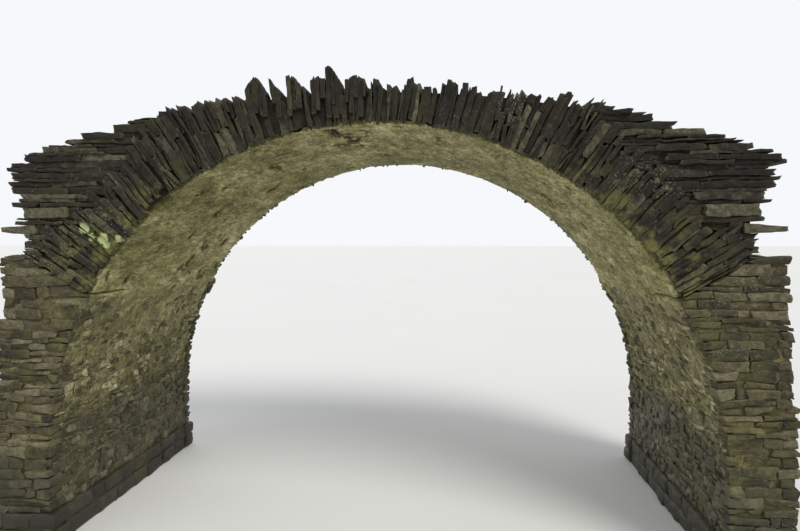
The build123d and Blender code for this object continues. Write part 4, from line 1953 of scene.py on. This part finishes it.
@dataclass
class EndWall:
    """Rubble wall that closes the fill at an end.

    Attributes:
        end: End of the bridge.
        depth: Depth of its stones.
        courses: Least and greatest height of its courses.
        lengths: Least and greatest length of its stones.
        joint_depth: How far the mortar lies behind the faces.
    """

    end: End
    depth: float = 0.2
    courses: Span = (0.04, 0.11)
    lengths: Span = (0.12, 0.36)
    joint_depth: float = 0.03

    def build(self) -> bpy.types.Object:
        """Lay the wall course by course."""
        name = f"end_wall_{self.end.name.lower()}"
        mesh = StoneMesh(name, 91 + self.end.value)
        rng = mesh.rng
        wide = HALF_WIDTH - WALL + 0.03
        top = crest_height(WALL_END) - 0.06
        beds = split_run(rng, SHOULDER, top, *self.courses)
        for low, high in pairwise(beds):
            cuts = split_run(rng, -wide, wide, *self.lengths)
            for left, right in pairwise(cuts):
                face = WALL_END + float(rng.uniform(-0.03, 0.012))
                x, y = (face, WALL_END - self.depth), (left, right - 0.005)
                corners = box_corners(x, y, (low, high - 0.004), "yzx")
                corners += rng.normal(0.0, 0.006, corners.shape)
                corners[..., 0] *= self.end.value
                mesh.block(corners, rounding=0.016, rough=0.012, cell=0.045, most=(6, 4, 3), ragged=0.01)

        def behind_face(across: np.ndarray, up: np.ndarray) -> np.ndarray:
            """Upright sheet just behind the stones' faces."""
            x = np.full(len(up), self.end.value * (WALL_END - self.joint_depth))
            return np.stack([x, (2.0 * across - 1.0) * wide, SHOULDER + up * (top - SHOULDER)], axis=1)

        mesh.sheet(60, 24, behind_face, 0.5, Slot.MORTAR)
        bend = wavy_beds(SHOULDER, CREST, 0.018)
        return mesh.finish(dressed(Finish.FACE, Finish.OUTER_JOINT), [name], bend)


@dataclass
class Track:
    """Worn track of packed earth and half-buried flat stones between the edge slabs.

    Attributes:
        upstand: How far the edge slabs stand above the earth.
        stones: Number of flat stones.
        worn: How far its middle is worn down, and how wide that is.
        verge: Distance from the middle at which it starts to fall to the sides.
    """

    upstand: float = 0.034
    stones: int = 320
    worn: tuple[float, float] = (0.016, 0.5)
    verge: float = 0.98

    def height(self, x: np.ndarray, y: np.ndarray) -> np.ndarray:
        """Height of the earth at a place."""
        flat = np.stack([x, y, np.zeros(len(x))], axis=1)
        crest = CREST - HUMP_RADIUS + np.sqrt(HUMP_RADIUS**2 - x * x)
        level = crest - self.upstand + 0.012 * fractal(flat, 0.5, 4, 401)
        level -= self.worn[0] * np.exp(-((y / self.worn[1]) ** 2))
        side = np.clip((np.abs(y) - self.verge) / 0.3, 0.0, 1.0)
        level -= side * (0.008 + 0.02 * (1.0 + fractal(flat, 0.16, 3, 411)))
        rim = np.clip((np.abs(y) - 1.3) / 0.08, 0.0, 1.0)
        end = np.clip((np.abs(x) - WALL_END + 0.05) / 0.05, 0.0, 1.0)
        return level - 0.05 * rim - 0.07 * end

    def build(self) -> bpy.types.Object:
        """Spread the earth and bed the stones."""
        mesh = StoneMesh("track", 101)

        def surface(along: np.ndarray, across: np.ndarray) -> np.ndarray:
            """Top of the earth."""
            x = (2.0 * along - 1.0) * (WALL_END - 0.004)
            y = (2.0 * across - 1.0) * (HALF_WIDTH - 0.08)
            return np.stack([x, y, self.height(x, y)], axis=1)

        mesh.sheet(170, 72, surface, 0.5, Slot.MORTAR)
        for _ in range(self.stones):
            self.bed_stone(mesh)
        nodes = ["track_left", "track_crown", "track_right"]
        return mesh.finish(dressed(Finish.TRACK, Finish.EARTH), nodes)

    def bed_stone(self, mesh: StoneMesh) -> None:
        """Bed one flat stone almost flush with the earth."""
        rng = mesh.rng
        x = float(rng.uniform(-WALL_END + 0.15, WALL_END - 0.15))
        y = float(np.clip(rng.normal(0.0, 0.6), -1.3, 1.3))
        length = 0.05 + 0.22 * float(rng.uniform()) ** 2
        width = length * float(rng.uniform(0.45, 0.9))
        ground = float(self.height(np.array([x]), np.array([y]))[0])
        box = box_corners((-length / 2, length / 2), (-width / 2, width / 2), (-0.05, 0.0), "xzy")
        box[..., :2] += rng.normal(0.0, 0.11 * width, box[..., :2].shape)
        turn = float(rng.uniform(0.0, math.pi))
        spun = box.copy()
        spun[..., 0] = box[..., 0] * math.cos(turn) - box[..., 1] * math.sin(turn)
        spun[..., 1] = box[..., 0] * math.sin(turn) + box[..., 1] * math.cos(turn)
        spun[..., 2] -= spun[..., 0] * x / HUMP_RADIUS
        spun += np.array([x, y, ground + float(rng.uniform(-0.004, 0.009))])
        mesh.block(spun, rounding=0.024, rough=0.009, cell=0.035, most=(6, 3, 5), ragged=0.03)


@dataclass
class Studio:
    """Pale floor, soft light and the camera.

    Attributes:
        lens: Focal length of the camera in millimetres.
        place: Where the camera stands.
        yaw: How far it is turned to the left, in degrees.
        pitch: How far it looks down, in degrees.
        ambient: Strength of the even light.
        background: Brightness of the room as the camera sees it.
    """

    lens: float = 27.0
    place: tuple[float, float, float] = (0.744, -HALF_WIDTH - 5.136, CENTRE + 1.983)
    yaw: float = 5.42
    pitch: float = 2.27
    ambient: float = 0.6
    background: float = 0.97

    def build(self) -> None:
        """Set up everything that isn't part of the bridge."""
        self.add_floor()
        self.light_room()
        self.add_sun("key", (0.5, -0.62, 0.75), 2.1, 28.0, (1.0, 0.98, 0.94))
        self.add_sun("fill", (-0.6, -0.7, 0.28), 0.55, 60.0, (0.95, 0.97, 1.0))
        self.add_sun("back", (-0.35, 0.8, 0.3), 0.7, 60.0, (0.95, 0.97, 1.0))
        self.add_camera()
        bpy.context.scene.view_settings.view_transform = "Standard"

    def add_floor(self) -> None:
        """Lay the floor."""
        mesh = bpy.data.meshes.new("floor")
        size = 400.0
        corners = [(-size, -size, 0.0), (size, -size, 0.0), (size, size, 0.0), (-size, size, 0.0)]
        mesh.from_pydata(corners, [], [(0, 1, 2, 3)])
        material, bench, shader = start_material("Pale floor")
        cloud = bench.noise(bench.position(), 0.15, 2.0)
        tint = bench.ramp(cloud, [(0.0, shade(216, 216, 214)), (1.0, shade(222, 222, 220))])
        bench.feed(tint, shader.inputs["Base Color"])
        shader.inputs["Roughness"].default_value = 0.9
        mesh.materials.append(material)
        floor = bpy.data.objects.new("floor", mesh)
        bpy.context.scene.collection.objects.link(floor)

    def light_room(self) -> None:
        """Light the room evenly from all sides, in front of a white background."""
        world = bpy.data.worlds.new("Room")
        bpy.context.scene.world = world
        world.use_nodes = True
        bench = NodeBench(world.node_tree)
        room = world.node_tree.nodes["Background"]
        room.inputs["Color"].default_value = (0.95, 0.97, 1.0, 1.0)
        path = bench.node("ShaderNodeLightPath")
        seen = bench.math("MAXIMUM", path.outputs["Is Camera Ray"], path.outputs["Is Glossy Ray"])
        seen = bench.math("MAXIMUM", seen, path.outputs["Is Transmission Ray"])
        more = bench.times(seen, self.background - self.ambient)
        bench.feed(bench.plus(self.ambient, more), room.inputs["Strength"])

    def add_sun(
        self, name: str, toward: tuple[float, float, float], power: float, spread: float, tint: Colour
    ) -> None:
        """Hang a soft lamp that lights the whole floor alike.

        Args:
            name: Name of the lamp.
            toward: Direction from the bridge to the lamp.
            power: Strength of the lamp.
            spread: Its apparent size in degrees, for soft shadows.
            tint: Its colour.
        """
        lamp = bpy.data.lights.new(name, "SUN")
        lamp.energy = power
        lamp.angle = math.radians(spread)
        lamp.color = tint
        holder = bpy.data.objects.new(name, lamp)
        holder.location = (8.0 * toward[0], 8.0 * toward[1], 8.0 * toward[2])
        holder.rotation_euler = Vector(toward).to_track_quat("Z", "Y").to_euler()
        bpy.context.scene.collection.objects.link(holder)

    def add_camera(self) -> None:
        """Stand the camera where the photograph was taken."""
        data = bpy.data.cameras.new("camera")
        data.lens = self.lens
        data.sensor_width = 36.0
        camera = bpy.data.objects.new("camera", data)
        camera.location = self.place
        camera.rotation_euler = (math.radians(90.0 - self.pitch), 0.0, math.radians(self.yaw))
        bpy.context.scene.collection.objects.link(camera)
        bpy.context.scene.camera = camera


def dress_hidden_fill() -> None:
    """Give the fill nodes, which the walls hide, the earth finish."""
    for end in End:
        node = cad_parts[f"fill_{end.name.lower()}"]
        node.data.materials.clear()
        node.data.materials.append(material_of(Finish.EARTH))


def main() -> None:
    """Build every piece in order and set up the room."""
    logging.basicConfig(level=logging.INFO, format="%(message)s")
    for side in Side:
        FaceRing(side).build()
        CrestSlabs(side).build()
        for end in End:
            SpandrelWall(side, end).build()
    for end in End:
        ProjectingSlabs(end).build()
        Abutment(end).build()
        Footing(end).build()
        EndWall(end).build()
    Soffit().build()
    Track().build()
    dress_hidden_fill()
    Studio().build()


if __name__ == "__main__":
    main()
